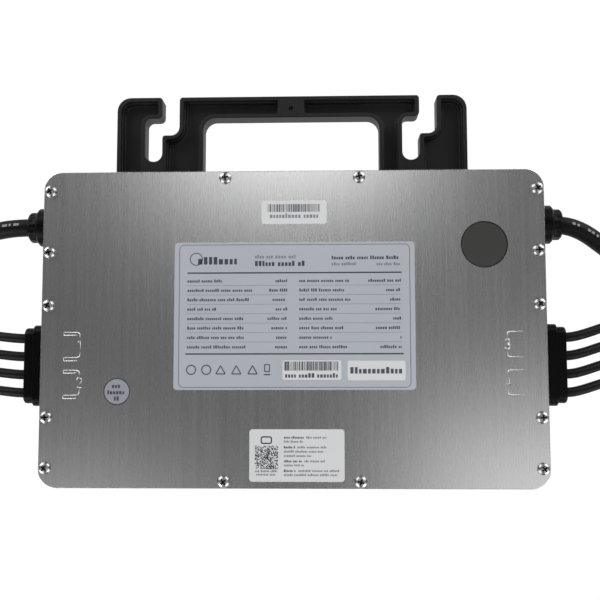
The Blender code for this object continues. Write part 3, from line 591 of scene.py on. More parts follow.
def smooth_curve(route, spacing):
    """Points about evenly spaced along a natural cubic spline through the route's points."""
    route = np.array(route, float)
    knots = np.concatenate([[0.0], np.cumsum(np.linalg.norm(np.diff(route, axis=0), axis=1))])
    step = np.diff(knots)
    slope = np.diff(route, axis=0) / step[:, None]
    system = np.eye(len(route))
    target = np.zeros_like(route)
    for i in range(1, len(route) - 1):
        system[i, i - 1 : i + 2] = step[i - 1], 2 * (step[i - 1] + step[i]), step[i]
        target[i] = 6 * (slope[i] - slope[i - 1])
    bend = np.linalg.solve(system, target)
    along = np.linspace(0.0, knots[-1], max(int(round(knots[-1] / spacing)), 2) + 1)
    i = np.clip(np.searchsorted(knots, along, side="right") - 1, 0, len(step) - 1)
    near = (along - knots[i])[:, None]
    far = (knots[i + 1] - along)[:, None]
    width = step[i][:, None]
    curved = (bend[i] * far**3 + bend[i + 1] * near**3) / (6 * width)
    straight_far = (route[i] / width - bend[i] * width / 6) * far
    straight_near = (route[i + 1] / width - bend[i + 1] * width / 6) * near
    return [Vector(p) for p in curved + straight_far + straight_near]


def cable(name, points, diameter):
    """A round lead as one bevelled Bezier spline through these points."""
    curve = bpy.data.curves.new(name, "CURVE")
    curve.dimensions = "3D"
    curve.bevel_depth = diameter / 2 * MM
    curve.bevel_resolution = 7
    curve.resolution_u = 5
    curve.use_fill_caps = True
    curve.materials.append(MATERIALS["black_rubber"])
    spline = curve.splines.new("BEZIER")
    spline.bezier_points.add(len(points) - 1)
    for place, point in zip(spline.bezier_points, points):
        place.co = point * MM
        place.handle_left_type = "AUTO"
        place.handle_right_type = "AUTO"
    obj = bpy.data.objects.new(name, curve)
    bpy.context.scene.collection.objects.link(obj)
    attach(obj, BODY)
    return obj


def ac_route(side):
    """The whole AC lead: along the floor, round the coil, and down to its connector."""
    sign = SIDES[side]
    points = smooth_curve([(sign * x, y, z) for x, y, z in AC_ROUTES[side]], CORD_SPACING)
    steps = int(COIL_TURNS * POINTS_PER_TURN)
    for k in range(1, steps):
        turn = k / POINTS_PER_TURN
        angle = 2 * math.pi * turn - math.pi / 2
        x = COIL_CENTRE[0] + COIL_RADIUS * math.cos(angle)
        y = COIL_CENTRE[1] + COIL_RADIUS * math.sin(angle)
        points.append(Vector((sign * x, y, AC_DIAMETER / 2 + 0.05 + COIL_PITCH * turn)))
    return points + smooth_curve([(sign * x, y, z) for x, y, z in TAIL_ROUTE], CORD_SPACING)


def lead_offset(number):
    """How far a DC lead is from the middle of its gland."""
    return DC_PITCH * ((LEADS_PER_SIDE - 1) / 2 - number)


def dc_route(side, number):
    """One DC lead, from its gland to its connector."""
    start = DC_PLACE + lead_offset(number)
    end = DC_CONNECTOR_FIRST - DC_CONNECTOR_PITCH * number
    sign = SIDES[side]
    route = []
    for distance, share, height, right_swing, left_swing in DC_STATIONS:
        swing = right_swing if sign > 0 else left_swing
        route.append((sign * distance, start + (end - start) * share + swing, height))
    return smooth_curve(route, CORD_SPACING)


def facing(shape, node, direction):
    """Lays a shape made about Z along X, from one end of a CAD node's box towards the other."""
    low, high = box_mm(node)
    place = (low.x if direction > 0 else high.x, (low.y + high.y) / 2, (low.z + high.z) / 2)
    return placed(placed(shape, turn=about("Y", 90 * direction)), place)


def length_and_radius(node):
    low, high = box_mm(node)
    return high.x - low.x, (high.y - low.y) / 2


def ac_plug(side):
    """The AC trunk connector: clamp nut with grips, body, locking collar and a keyed face with pins."""
    node = f"ac_connector_{side}"
    length, radius = length_and_radius(node)
    profile = [
        (0.0, 1.5, 0), (5.3, 1.5, 0), (5.3, 0.4, 0.4), (8.2, 0.0, 0.8), (10.2, 2.0, 0.8), (10.2, 8.0, 0),
        (10.2, 17.0, 0.5), (9.6, 17.4, 0.3), (9.6, 18.2, 0.3), (radius, 19.0, 0.8), (radius, 30.0, 0),
        (radius, 42.0, 0.8), (11.2, 43.0, 0.4), (11.2, 52.0, 0.3), (10.9, 52.3, 0.2), (10.9, 53.7, 0.2),
        (11.2, 54.0, 0.3), (11.2, length - 0.6, 0.7), (8.4, length, 0.5), (8.2, length - 3.0, 0.4),
        (0.0, length - 3.0, 0),
    ]
    shape = turned(profile, FINE_SEGMENTS)
    ribbed(shape, low=2.6, high=16.6, count=16, depth=0.7)
    ribbed(shape, low=19.8, high=41.2, count=24, depth=0.45)
    parts = [shape, slab(rectangle(3.0, 1.6, 0.5, (0, 11.3)), low=44.0, high=50.0, edge=0.3, steps=3)]
    pin = [(1.5, 0, 0), (1.5, 1.2, 0.3), (0.9, 1.2, 0.1), (0.9, 0, 0)]
    for angle in (math.pi / 2, math.pi * 7 / 6, math.pi * 11 / 6):
        place = (PIN_CIRCLE * math.cos(angle), PIN_CIRCLE * math.sin(angle), length - 3.2)
        parts.append(placed(turned(pin, 20), place))
    return piece(f"ac_plug_{side}", facing(joined(parts), node, -SIDES[side]), "connector_plastic",
                 [node])


def coil_tie(side):
    """A hook-and-loop strap round the coil's turns."""
    sign = SIDES[side]
    height = COIL_PITCH * COIL_TURNS + AC_DIAMETER + 0.6
    outline = rectangle(AC_DIAMETER + 1.6, height, 4.5, (0, height / 2 + 0.02))
    strap = placed(ring_plate(outline, 0.9, -TIE_HALF_WIDTH, TIE_HALF_WIDTH, 8), turn=about("X", 90))
    shape = placed(strap, (COIL_RADIUS, 0, 0))
    shape = placed(shape, turn=about("Z", TIE_ANGLE if sign > 0 else 180 - TIE_ANGLE))
    shape = placed(shape, (sign * COIL_CENTRE[0], COIL_CENTRE[1], 0))
    return piece(f"coil_tie_{side}", shape, "seal_rubber")


def as_cord(stands_for, with_pieces):
    """Hides the solids that a lead stands for."""
    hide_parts(*stands_for)


def ac_leads():
    for side in SIDES:
        points = ac_route(side)
        lead = cable(f"ac_cable_{side}", points, AC_DIAMETER)
        as_cord((f"ac_lead_{side}", f"ac_lead_coil_{side}"),
                [ac_plug(side), coil_tie(side)])
        jacket_print(side, points)


PRINT_START = 8.0
PRINT_END = 118.0
PRINT_SPACING = 0.5
PRINT_POINTS = 22
PRINT_HEIGHT = 1.5
PRINT_TILT = 0.30


def jacket_print(side, points):
    """A row of faint dashes along the top of an AC lead, in place of its printed text."""
    rng = random.Random(len(side))
    fine = smooth_curve(points[:PRINT_POINTS], PRINT_SPACING)
    tilt = PRINT_TILT * SIDES[side]
    dashes = []
    along = PRINT_START
    while along < PRINT_END:
        width = rng.choice((1.2, 1.6, 2.0))
        index = min(int(along / PRINT_SPACING), len(fine) - 2)
        here = fine[index]
        ahead = (fine[index + 1] - here).normalized()
        across = Vector((0, 0, 1)).cross(ahead).normalized()
        out = (ahead.cross(across) * math.cos(tilt) + across * math.sin(tilt)).normalized()
        turn = Matrix((ahead, out.cross(ahead), out)).transposed().to_4x4()
        mark = slab(rectangle(width, PRINT_HEIGHT, 0.2), low=-0.06, high=0.03, edge=0.02, steps=1)
        dashes.append(placed(mark, here + out * AC_DIAMETER / 2, turn))
        along += width + (0.7 if rng.random() < 0.75 else 5.0)
    piece(f"jacket_print_{side}", joined(dashes), "jacket_print")


def dc_plug(side, number):
    """One panel-lead connector: clamp nut with grips, latched body, and its nose or socket sleeve."""
    node = f"dc_connector_{side}_{number + 1}"
    length, radius = length_and_radius(node)
    tip = NOSE_RADIUS if number % 2 == 0 else SLEEVE_RADIUS
    profile = [
        (0.0, 1.2, 0), (2.9, 1.2, 0.2), (2.9, 0.3, 0.2), (5.2, 0.0, 0.5), (7.6, 2.0, 0.5), (radius, 3.5, 0.6),
        (radius, 9.0, 0), (radius, 16.0, 0.7), (7.4, 17.2, 0.3), (7.4, 19.0, 0.2), (7.1, 19.3, 0.1),
        (7.1, 20.5, 0.1), (7.4, 20.8, 0.2), (7.4, 38.0, 0.6), (tip + 0.1, 39.4, 0.4),
        (tip, length - 0.6, 0.5), (tip - 1.0, length, 0.3), (tip - 1.6, length, 0.2),
        (tip - 1.8, length - 4.0, 0.2), (0.0, length - 4.0, 0),
    ]
    parts = [ribbed(turned(profile, FINE_SEGMENTS), low=4.4, high=15.4, count=12, depth=0.9)]
    for turn in (90, 270):
        latch = slab(rectangle(3.2, 3.6, 0.6, (0, 6.4)), low=33.0, high=49.0, edge=0.4, steps=3)
        parts.append(placed(latch, turn=about("Z", turn)))
    return piece(f"dc_plug_{side}_{number + 1}", facing(joined(parts), node, SIDES[side]),
                 "connector_plastic", [node])


def dc_leads():
    for side in SIDES:
        for number in range(LEADS_PER_SIDE):
            place = f"{side}_{number + 1}"
            points = dc_route(side, number)
            lead = cable(f"dc_cable_{place}", points, DC_DIAMETER)
            as_cord((f"dc_lead_{place}",),
                    [dc_plug(side, number)])


# ---- glands


GLAND_SEAT = PLATE_LENGTH / 2 - WALL_INSET + 0.3
GLAND_SPIGOT = 4.0


def gland_face(node):
    """How far from the object's middle a gland's outer face is."""
    low, high = box_mm(node)
    return max(abs(low.x), abs(high.x))


def ac_glands():
    """Flange, clamp nut with shallow grips, and the rubber lip that seals on the lead."""
    for side, sign in SIDES.items():
        face = gland_face(f"ac_gland_{side}")
        profile = [
            (0, GLAND_SEAT - GLAND_SPIGOT, 0), (8.0, GLAND_SEAT - GLAND_SPIGOT, 0), (8.0, GLAND_SEAT, 0),
            (11.0, GLAND_SEAT, 0.4), (11.0, 146.0, 0), (11.0, 146.6, 0.5), (10.1, 147.5, 0.5),
            (8.9, 148.0, 0.3), (8.9, 149.5, 0), (8.9, 151.6, 0.8), (7.9, face, 0.5), (6.1, face, 0.3),
            (5.9, face - 0.9, 0.2), (0, face - 0.9, 0),
        ]
        shape = ribbed(turned(profile, FINE_SEGMENTS), low=148.4, high=151.8, count=12, depth=0.35)
        lip = turned([(5.0, face - 1.5, 0), (6.3, face - 1.5, 0), (6.3, face + 0.2, 0.4),
                      (5.5, face + 0.5, 0.2), (5.0, face + 0.3, 0)], 64)
        place = (0, AC_PLACE, GLAND_HEIGHT)
        turn = about("Y", 90 * sign)
        piece(f"ac_gland_nut_{side}", placed(shape, place, turn), "gland_plastic",
              [f"ac_gland_{side}"])
        piece(f"ac_gland_seal_{side}", placed(lip, place, turn), "black_rubber")


def dc_glands():
    """The oblong gland block in two steps, with a groove and a raised collar round each lead."""
    for side, sign in SIDES.items():
        face = gland_face(f"dc_gland_{side}")
        place = (0, DC_PLACE, GLAND_HEIGHT)
        turn = about("Z", 90 - 90 * sign) @ about("Y", 90)
        flange = slab(rectangle(16.0, 46.0, 5.0), GLAND_SEAT, 148.0, 0.8)
        block = slab(rectangle(13.4, 43.0, 4.8), 147.0, face, 1.3, bottom_edge=0.3)
        spigot = slab(rectangle(9.0, 38.0, 1.0), GLAND_SEAT - GLAND_SPIGOT, GLAND_SEAT + OVERREACH, 0.2, 2)
        body = helper(f"dc_gland_block_{side}", placed(flange, place, turn))
        cut(body, "UNION", placed(block, place, turn))
        cut(body, "UNION", placed(spigot, place, turn))
        collars = []
        for number in range(LEADS_PER_SIDE):
            across = (0, lead_offset(number) * sign, 0)
            groove = turned([(0, face - 1.2, 0), (3.1, face - 1.2, 0.2), (3.3, face + OVERREACH, 0),
                             (0, face + OVERREACH, 0)], 40)
            cut(body, "DIFFERENCE", placed(placed(groove, across), place, turn))
            ring = [(2.6, face - 1.4, 0), (3.9, face - 1.4, 0), (3.9, face + 0.2, 0.35),
                    (3.1, face + 0.55, 0.25), (2.6, face + 0.3, 0)]
            collars.append(placed(placed(turned(ring, 48), across), place, turn))
        finished(body, "gland_plastic", [f"dc_gland_{side}"])
        piece(f"dc_gland_collars_{side}", joined(collars), "black_rubber")


# ---- housing and cover


def nodes_named(prefix):
    return sorted(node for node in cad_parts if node.startswith(prefix))


def centre_of(node):
    low, high = box_mm(node)
    return (low + high) / 2


FOOT_EDGE = 1.6
RIM_FLARE = 1.2
CAVITY_FILLET = 1.0
BOSS_RADIUS = 3.5
BOSS_TIP_RADIUS = 1.8
BOSS_TIP = 20.5
BOSS_SHOULDER = 23.0
BOSS_ROUNDING = 0.8
PANEL_COLUMNS = (-96.0, -33.0, 33.0, 96.0)
PANEL_ROWS = (-36.0, 36.0)
PANEL_SIZE = (55.0, 62.0)
PANEL_CORNER = 4.0
PANEL_DEPTH = 1.0
PANEL_EDGE = 0.35


def housing():
    """The moulded tray with soft edges: rim, screw bosses, shallow back panels and an open cavity."""
    outline = rectangle(PLATE_LENGTH, PLATE_WIDTH, PLATE_CORNER)
    wall = quarter(FOOT_EDGE, 0.0, False) + flared(RIM_FLARE, RIM_UNDERSIDE, True, 4)
    sections = [(WALL_INSET + distance, height) for distance, height in wall]
    sections += [(RIM_INSET + 0.5, RIM_UNDERSIDE), (RIM_INSET + 0.15, RIM_UNDERSIDE + 0.15),
                 (RIM_INSET, RIM_UNDERSIDE + 0.5), (RIM_INSET, RIM_TOP - 0.3), (RIM_INSET + 0.3, RIM_TOP)]
    shell = helper("housing_shell", loft(outline, sections, 10))
    boss_top = RIM_UNDERSIDE + OVERREACH
    boss = [(0, BOSS_TIP, 0), (BOSS_TIP_RADIUS, BOSS_TIP, BOSS_ROUNDING),
            (BOSS_RADIUS, BOSS_SHOULDER, BOSS_ROUNDING), (BOSS_RADIUS, boss_top, 0), (0, boss_top, 0)]
    places = [centre_of(node) for node in nodes_named("cover_screw")]
    cut(shell, "UNION", joined([placed(turned(boss, 32), (place.x, place.y, 0)) for place in places]))
    cavity = [(CAVITY_INSET + d, z) for d, z in quarter(CAVITY_FILLET, FLOOR_THICKNESS, False)]
    cut(shell, "DIFFERENCE", loft(outline, cavity + [(CAVITY_INSET, PLATE_TOP)], 10))
    for x in PANEL_COLUMNS:
        for y in PANEL_ROWS:
            panel = rectangle(*PANEL_SIZE, PANEL_CORNER, (x, y))
            panel = hollow_cutter(panel, -PANEL_DEPTH, 0.0, PANEL_EDGE, PANEL_EDGE)
            cut(shell, "DIFFERENCE", placed(panel, turn=about("X", 180)))
    finished(shell, "black_plastic", ["rear_housing"])


WINDOW_HOLE_RADIUS = 13.0
WINDOW_RADIUS = 12.7
WINDOW_FLANGE_RADIUS = 15.0
WINDOW_FLANGE = 1.4
WINDOW_SUNK = 0.12


def cover():
    """The sheet-metal cover with a softly broken edge and its window hole, and the window in it."""
    outline = rectangle(PLATE_LENGTH, PLATE_WIDTH, PLATE_CORNER)
    plate = helper("cover_sheet", slab(outline, PLATE_UNDERSIDE, PLATE_TOP, 0.35, 16, bottom_edge=0.1))
    foot = box_mm("antenna_window")[0].z
    middle = centre_of("antenna_window")
    below = PLATE_UNDERSIDE - OVERREACH
    above = PLATE_TOP + OVERREACH
    hole = [(0, below, 0), (WINDOW_HOLE_RADIUS, below, 0), (WINDOW_HOLE_RADIUS, above, 0), (0, above, 0)]
    cut(plate, "DIFFERENCE", placed(turned(hole, FINE_SEGMENTS), (middle.x, middle.y, 0)))
    finished(plate, "brushed_metal", ["cover_plate"])
    top = PLATE_TOP - WINDOW_SUNK
    ledge = foot + WINDOW_FLANGE
    disc = [(0, foot, 0), (WINDOW_FLANGE_RADIUS, foot, 0.2), (WINDOW_FLANGE_RADIUS, ledge, 0.2),
            (WINDOW_RADIUS, ledge, 0), (WINDOW_RADIUS, top - 0.5, 0.2), (WINDOW_RADIUS - 0.6, top, 0.2),
            (0, top, 0)]
    piece("window_disc", placed(turned(disc, FINE_SEGMENTS), (middle.x, middle.y, 0)), "window_plastic",
          ["antenna_window"])


HEAD_HEIGHT = 2.2
RECESS_DEPTH = 1.25
RECESS_REACH = 0.56
# Where the painted shade goes in a screw's recess: share of the head's radius, and depths below its top
RECESS_SHADE_REACH = 0.6
RECESS_SHADE_DEPTHS = (0.2, 1.6)


def cross_recess(depth, reach):
    """What a cross-head driver's recess takes away: two crossed blades, their mouths at height 0."""
    blades = []
    for angle in (0, 90):
        shallow = slab(rectangle(2 * reach, 0.95, 0.25), -0.55 * depth, 1.0, 0.15, 2)
        deep = slab(rectangle(1.15 * reach, 0.8, 0.2), -depth, 1.0, 0.15, 2)
        blades += [placed(blade, turn=about("Z", angle)) for blade in (shallow, deep)]
    return blades


def screw_mesh(name, node, axis):
    """A pan-head screw with a cross recess about the node's own place, as a mesh to share."""
    low, high = box_mm(node)
    radius = (high.x - low.x) / 2
    half = (high[axis] - low[axis]) / 2
    seat = half - HEAD_HEIGHT
    profile = [
        (0, -half, 0),
        (1.4, -half, 0.4),
        (1.5, seat, 0),
        (radius, seat, 0.12),
        (radius, seat + 0.55, 0.5),
        (0.86 * radius, seat + 0.72 * HEAD_HEIGHT, 0.9),
        (0.5 * radius, seat + 0.97 * HEAD_HEIGHT, 1.2),
        (0, half, 0),
    ]
    screw = helper(name, turned(profile, 64))
    for arm in cross_recess(RECESS_DEPTH, RECESS_REACH * radius):
        cut(screw, "DIFFERENCE", placed(arm, (0, 0, seat + 0.98 * HEAD_HEIGHT)))
    if axis == 1:
        screw.data.transform(about("X", -90))
    return screw


def along_and_across(point, axis):
    """How far a point is along an axis through the origin, and how far it is from it."""
    return point[axis], math.hypot(*(c for i, c in enumerate(point) if i != axis))


def shade_recess(obj, axis):
    """Paints shade on the faces down inside a screw's recess: a darker metal there stands in for the shadow
    in it.
    """
    points = [along_and_across(vertex.co, axis) for vertex in obj.data.vertices]
    top = max(along for along, _ in points)
    reach = RECESS_SHADE_REACH * max(across for _, across in points)
    least, most = RECESS_SHADE_DEPTHS
    obj.data.materials.append(MATERIALS["recess_shade"])
    for face in obj.data.polygons:
        along, across = along_and_across(face.center, axis)
        if across < reach and top - most * MM < along < top - least * MM:
            face.material_index = 1


def screws():
    """All screws: one mesh for the cover's and one for the bracket's, each turned its own way."""
    rng = random.Random(7)
    for prefix, letter in (("cover_screw", "Z"), ("bracket_screw", "Y")):
        axis = "XYZ".index(letter)
        nodes = nodes_named(prefix)
        first = screw_mesh(f"{prefix}_mesh", nodes[0], axis)
        for node in nodes:
            obj = bpy.data.objects.new(node.replace("screw", "pan_head"), first.data.copy())
            obj.data.transform(about(letter, rng.uniform(0, 90)))
            obj.location = centre_of(node) * MM
            bpy.context.scene.collection.objects.link(obj)
            finished(obj, "screw_steel", [node])
            shade_recess(obj, axis)
        bpy.data.objects.remove(first)


# ---- bracket


def bracket_outline():
    """The bracket's corners, counterclockwise from the foot: hooks, slots and the handle's bar."""
    corners = [
        (-BRACKET_HALF_WIDTH, BRACKET_FOOT, 0),
        (BRACKET_HALF_WIDTH, BRACKET_FOOT, 0),
        (BRACKET_HALF_WIDTH, BRACKET_TOP, 8.0),
    ]
    for start in reversed(SLOT_STARTS):
        lower_end = start + SLOT_WIDTH
        mouth_end = lower_end + SLOT_WIDTH
        corners += [
            (mouth_end, BRACKET_TOP, 2.0),
            (mouth_end, SLOT_STEP, 5.0),
            (lower_end, SLOT_STEP, 1.6),
            (lower_end, SLOT_FLOOR, SLOT_WIDTH / 2 - 0.1),
            (start, SLOT_FLOOR, SLOT_WIDTH / 2 - 0.1),
            (start, ARM_UNDERSIDE, 3.4),
            (lower_end, ARM_UNDERSIDE, 3.0),
            (lower_end, BRACKET_TOP, 1.8),
        ]
    return corners + [(-BRACKET_HALF_WIDTH, BRACKET_TOP, 8.0)]


def slot_hook(start):
    """A panel's corners round the arm over a slot."""
    end = start + SLOT_WIDTH
    return [(start, ARM_UNDERSIDE, 4.0), (end, ARM_UNDERSIDE, 3.0), (end, BRACKET_TOP, 3.4)]


def slot_step(start):
    """A panel's corners round the stepped side of a slot."""
    end = start + SLOT_WIDTH
    return [(end + SLOT_WIDTH, BRACKET_TOP, 3.4), (end + SLOT_WIDTH, SLOT_STEP, 5.0), (end, SLOT_STEP, 3.6)]


def web_outlines():
    """The four hollowed panels of the bracket, before the rib along their edges is taken off."""
    left, right = SLOT_STARTS
    width = BRACKET_HALF_WIDTH
    handle = HANDLE_HALF_WIDTH
    foot = BRACKET_FOOT_TOP - 0.4
    block = CENTRE_BLOCK_HALF_WIDTH - RIB_WIDTH
    return [
        [(-width, foot, 0.4), (left, foot, 0.4), *slot_hook(left), (-width, BRACKET_TOP, 9.0)],
        [(left + SLOT_WIDTH, foot, 0.4), (-handle, foot, 0.4), (-handle, ARM_UNDERSIDE, HANDLE_CORNER),
         (-block, ARM_UNDERSIDE, 3.0), (-block, BRACKET_TOP, 3.0), *slot_step(left)],
        [(handle, foot, 0.4), (right, foot, 0.4), *slot_hook(right), (block, BRACKET_TOP, 3.0),
         (block, ARM_UNDERSIDE, 3.0), (handle, ARM_UNDERSIDE, HANDLE_CORNER)],
        [(right + SLOT_WIDTH, foot, 0.4), (width, foot, 0.4), (width, BRACKET_TOP, 9.0), *slot_step(right)],
    ]


def bracket():
    """The moulded handle with two hooks, rounded edges, stepped hollows and a solid middle block."""
    low, high = BRACKET_REAR, BRACKET_FRONT
    body = helper("bracket_moulding", slab(bracket_outline(), low, high, BRACKET_EDGE, 6))
    opening = [
        (-HANDLE_HALF_WIDTH, BRACKET_FOOT_TOP, 2.5),
        (HANDLE_HALF_WIDTH, BRACKET_FOOT_TOP, 2.5),
        (HANDLE_HALF_WIDTH, ARM_UNDERSIDE, HANDLE_CORNER),
        (-HANDLE_HALF_WIDTH, ARM_UNDERSIDE, HANDLE_CORNER),
    ]
    cut(body, "DIFFERENCE", through_cutter(opening, low, high, BRACKET_EDGE, 8))
    for outline in web_outlines():
        upper = inset(outline, RIB_WIDTH)
        cut(body, "DIFFERENCE", hollow_cutter(upper, high - LEDGE_DEPTH, high, 0.5, 0.5, 6))
        lower = inset(outline, RIB_WIDTH + LEDGE_WIDTH)
        cut(body, "DIFFERENCE", hollow_cutter(lower, high - WEB_DEPTH, high - LEDGE_DEPTH + 0.2, 0.9, 0.2, 6))
    dimple = turned([(0, high - 1.6, 0), (1.0, high - 1.6, 0.3), (1.6, high + OVERREACH, 0),
                     (0, high + OVERREACH, 0)], 24)
    cut(body, "DIFFERENCE", placed(dimple, (0, BRACKET_TOP - DIMPLE_DROP, 0)))
    body.data.transform(Matrix.Translation((BRACKET_CENTRE * MM, 0, 0)))
    finished(body, "black_plastic", ["mounting_bracket"])


# ---- labels and marks

INK = 0.03
FILM_GAP = 0.02
LABEL_THICKNESS = 0.16
FIELD_THICKNESS = 0.08
STICKER_THICKNESS = 0.12


class Print:
    """The print on one label: thin closed shapes in each ink, around the label's own place."""

    def __init__(self, place, level, seed):
        self.place = place
        self.level = level
        self.rng = random.Random(seed)
        self.inks = {"ink_dark": [], "ink_text": [], "ink_grey": []}

    def box(self, ink, u, v, width, height):
        bm = bmesh.new()
        bmesh.ops.create_cube(bm, size=1.0)
        size = Matrix.Diagonal((width, height, INK, 1.0))
        self.inks[ink].append(placed(bm, (u, v, self.level + INK / 2), size))

    def outline(self, ink, corners, width):
        self.inks[ink].append(ring_plate(corners, width, self.level, self.level + INK, 8))

    def text(self, ink, start, end, v, height, longest=8):
        """A line with no letters in it: plain dabs in word-like groups."""
        at = start
        left_in_word = self.rng.randint(3, longest)
        while at < end - 0.3 * height:
            width = min(height * self.rng.uniform(0.36, 0.56), end - at)
            tall = height * self.rng.choice((0.68, 0.68, 0.68, 0.72, 0.95))
            self.box(ink, at + width / 2, v - (height - tall) / 2, width, tall)
            at += width + 0.2 * height
            left_in_word -= 1
            if left_in_word == 0:
                at += 0.45 * height
                left_in_word = self.rng.randint(3, longest)

    def bar_code(self, ink, start, end, v, height):
        """Upright bars of random widths."""
        at = start
        while at < end:
            width = min(self.rng.choice((0.22, 0.22, 0.44, 0.66)), end - at)
            self.box(ink, at + width / 2, v, width, height)
            at += width + self.rng.choice((0.22, 0.3, 0.5))

    def finish(self, name):
        for ink, shapes in self.inks.items():
            if shapes:
                piece(f"{name}_{ink}", placed(joined(shapes), (*self.place, 0)), ink)


ROW_PITCH = 5.24
FIRST_ROW = 19.4
# For each row of the rating label: where the left words end, the left value starts, the right
# words end and the right value starts
ROW_ENDS = (
    (-40.2, -10.4, 30.5, 41.0), (-23.2, -13.9, 28.5, 50.8), (-25.2, -12.0, 31.0, 53.0),
    (-42.7, -10.3, 24.2, 44.8), (-28.2, -14.8, 21.2, 54.6), (-27.3, -12.7, 27.0, 45.0),
    (-28.0, -10.0, 21.0, 58.4), (-26.6, -10.6, 29.5, 47.4),
)


# The rating label's heading: ink, start, end, height on the label, size, longest word
HEADING = (
    ("ink_dark", -53.6, -32.0, 30.8, 4.4, 12),
    ("ink_dark", -21.8, 6.9, 29.1, 3.0, 8),
    ("ink_dark", 20.8, 59.2, 32.2, 2.1, 8),
    ("ink_grey", -21.8, 0.7, 32.9, 2.2, 8),
    ("ink_grey", 20.8, 34.7, 28.7, 1.8, 8),
    ("ink_grey", 45.6, 59.4, 28.6, 1.8, 8),
)
ROW_RULES = ((-31.7, 55.6), (31.0, 56.4))


def rating_rows(label):
    """Two columns of words and values, with a thin rule under every row but the last."""
    for row, (left_end, left_value, right_end, right_value) in enumerate(ROW_ENDS):
        v = FIRST_ROW - ROW_PITCH * row
        for start, end in ((-59.4, left_end), (left_value, -3.9), (2.8, right_end), (right_value, 59.0)):
            label.text("ink_text", start, end, v, 1.75)
        if row < len(ROW_ENDS) - 1:
            for middle, length in ROW_RULES:
                label.box("ink_grey", middle, v - ROW_PITCH / 2, length, 0.17)


def blank_symbols(label):
    """Plain rings, triangles and a small square where a plate of this kind carries its marks."""
    for u in (-57.0, -48.6):
        label.outline("ink_text", rectangle(5.6, 5.6, 2.75, (u, -29.9)), 0.62)
    for u in (-40.7, -32.0, -23.0):
        triangle = [(u - 3.1, -32.5, 0.5), (u + 3.1, -32.5, 0.5), (u, -27.0, 0.5)]
        label.outline("ink_text", triangle, 0.62)
    label.outline("ink_text", rectangle(3.2, 4.4, 0.5, (-15.0, -29.0)), 0.55)
    label.box("ink_text", -15.0, -32.6, 3.4, 0.7)


# The two white fields: length and place on the label
FIELDS = ((32.4, (9.7, -30.1)), (31.8, (45.2, -30.4)))


def rating_label():
    """The silver-grey label: frame, heading, two columns of values, symbols and two white fields."""
    low, high = box_mm("rating_label")
    middle = (low + high) / 2
    place = (middle.x, middle.y)
    base = PLATE_TOP + FILM_GAP
    top = base + LABEL_THICKNESS
    film = slab(rectangle(high.x - low.x, high.y - low.y, 2.0, place), base, top, 0.05)
    piece("rating_film", film, "label_film", ["rating_label"])
    label = Print(place, top, seed=11)
    label.outline("ink_dark", rectangle(7.2, 7.2, 3.58, (-54.6, 31.6)), 0.45)
    for line in HEADING:
        label.text(*line)
    label.box("ink_dark", 0, 23.8, 119.0, 0.75)
    label.box("ink_dark", -0.1, -21.2, 120.4, 0.75)
    rating_rows(label)
    blank_symbols(label)
    label.outline("ink_text", rectangle(128.2, 79.4, 2.8), 0.28)
    label.level = top + FIELD_THICKNESS
    fields = [slab(rectangle(length, 10.8, 1.2, centre), top - FILM_GAP, label.level, 0.03, 6)
              for length, centre in FIELDS]
    piece("rating_fields", placed(joined(fields), (*place, 0)), "white_film")
    label.bar_code("ink_dark", -5.6, 24.4, -27.9, 5.0)
    label.text("ink_text", -5.0, 24.2, -33.0, 2.6)
    label.text("ink_text", 30.8, 59.4, -30.2, 3.7, 12)
    label.finish("rating_print")


def sticker(name, place, outline, seed, material="white_film"):
    """A plain sticker on the cover. Returns the print that goes on it."""
    base = PLATE_TOP + FILM_GAP
    top = base + STICKER_THICKNESS
    piece(name, placed(slab(outline, base, top, 0.04, 10), (*place, 0)), material)
    return Print(place, top, seed)


def serial_sticker():
    """A bar code over one row of print."""
    label = sticker("serial_sticker", (1.1, 64.4), rectangle(36.5, 13.2, 1.2), seed=3)
    label.bar_code("ink_text", -14.7, 14.3, 2.4, 4.4)
    label.text("ink_grey", -13.5, 14.3, -1.9, 2.7, 12)
    label.finish("serial_print")


CODE_SIZE = 12.6
CODE_CELLS = 29
CODE_CENTRE = (-16.6, -1.05)
CODE_SHARE = 0.48
INFO_START = -7.1
INFO_SIZE = 1.3
# The lines of the information sticker: height, end of the bold first word, and end of the line
INFO_LINES = (
    (9.8, 4.0, 16.6), (7.6, None, 3.6), (4.5, -0.7, 16.4), (2.2, None, 14.4), (-0.1, None, 7.8),
    (-3.0, 3.0, 15.4), (-5.2, None, 4.2), (-8.2, -0.3, 23.2), (-10.4, None, 22.0),
)


def info_sticker():
    """The white information sticker with a square code and blocks of small print."""
    label = sticker("info_sticker", (2.6, -70.0), rectangle(52.0, 28.4, 1.8), seed=5)
    label.outline("ink_dark", rectangle(6.2, 4.2, 1.2, (-16.7, 8.3)), 0.7)
    cell = CODE_SIZE / CODE_CELLS
    corner = (CODE_CENTRE[0] - CODE_SIZE / 2, CODE_CENTRE[1] - CODE_SIZE / 2)
    for column in range(CODE_CELLS):
        for row in range(CODE_CELLS):
            if label.rng.random() < CODE_SHARE:
                u, v = corner[0] + (column + 0.5) * cell, corner[1] + (row + 0.5) * cell
                label.box("ink_dark", u, v, cell, cell)
    label.text("ink_grey", -22.8, -10.9, -8.4, INFO_SIZE)
    label.text("ink_grey", -22.2, -11.6, -10.2, INFO_SIZE)
    for v, bold_end, end in INFO_LINES:
        start = INFO_START
        if bold_end:
            label.text("ink_text", start, bold_end, v, 1.35)
            start = bold_end + 1.1
        label.text("ink_grey", start, end, v, INFO_SIZE)
    label.finish("info_print")


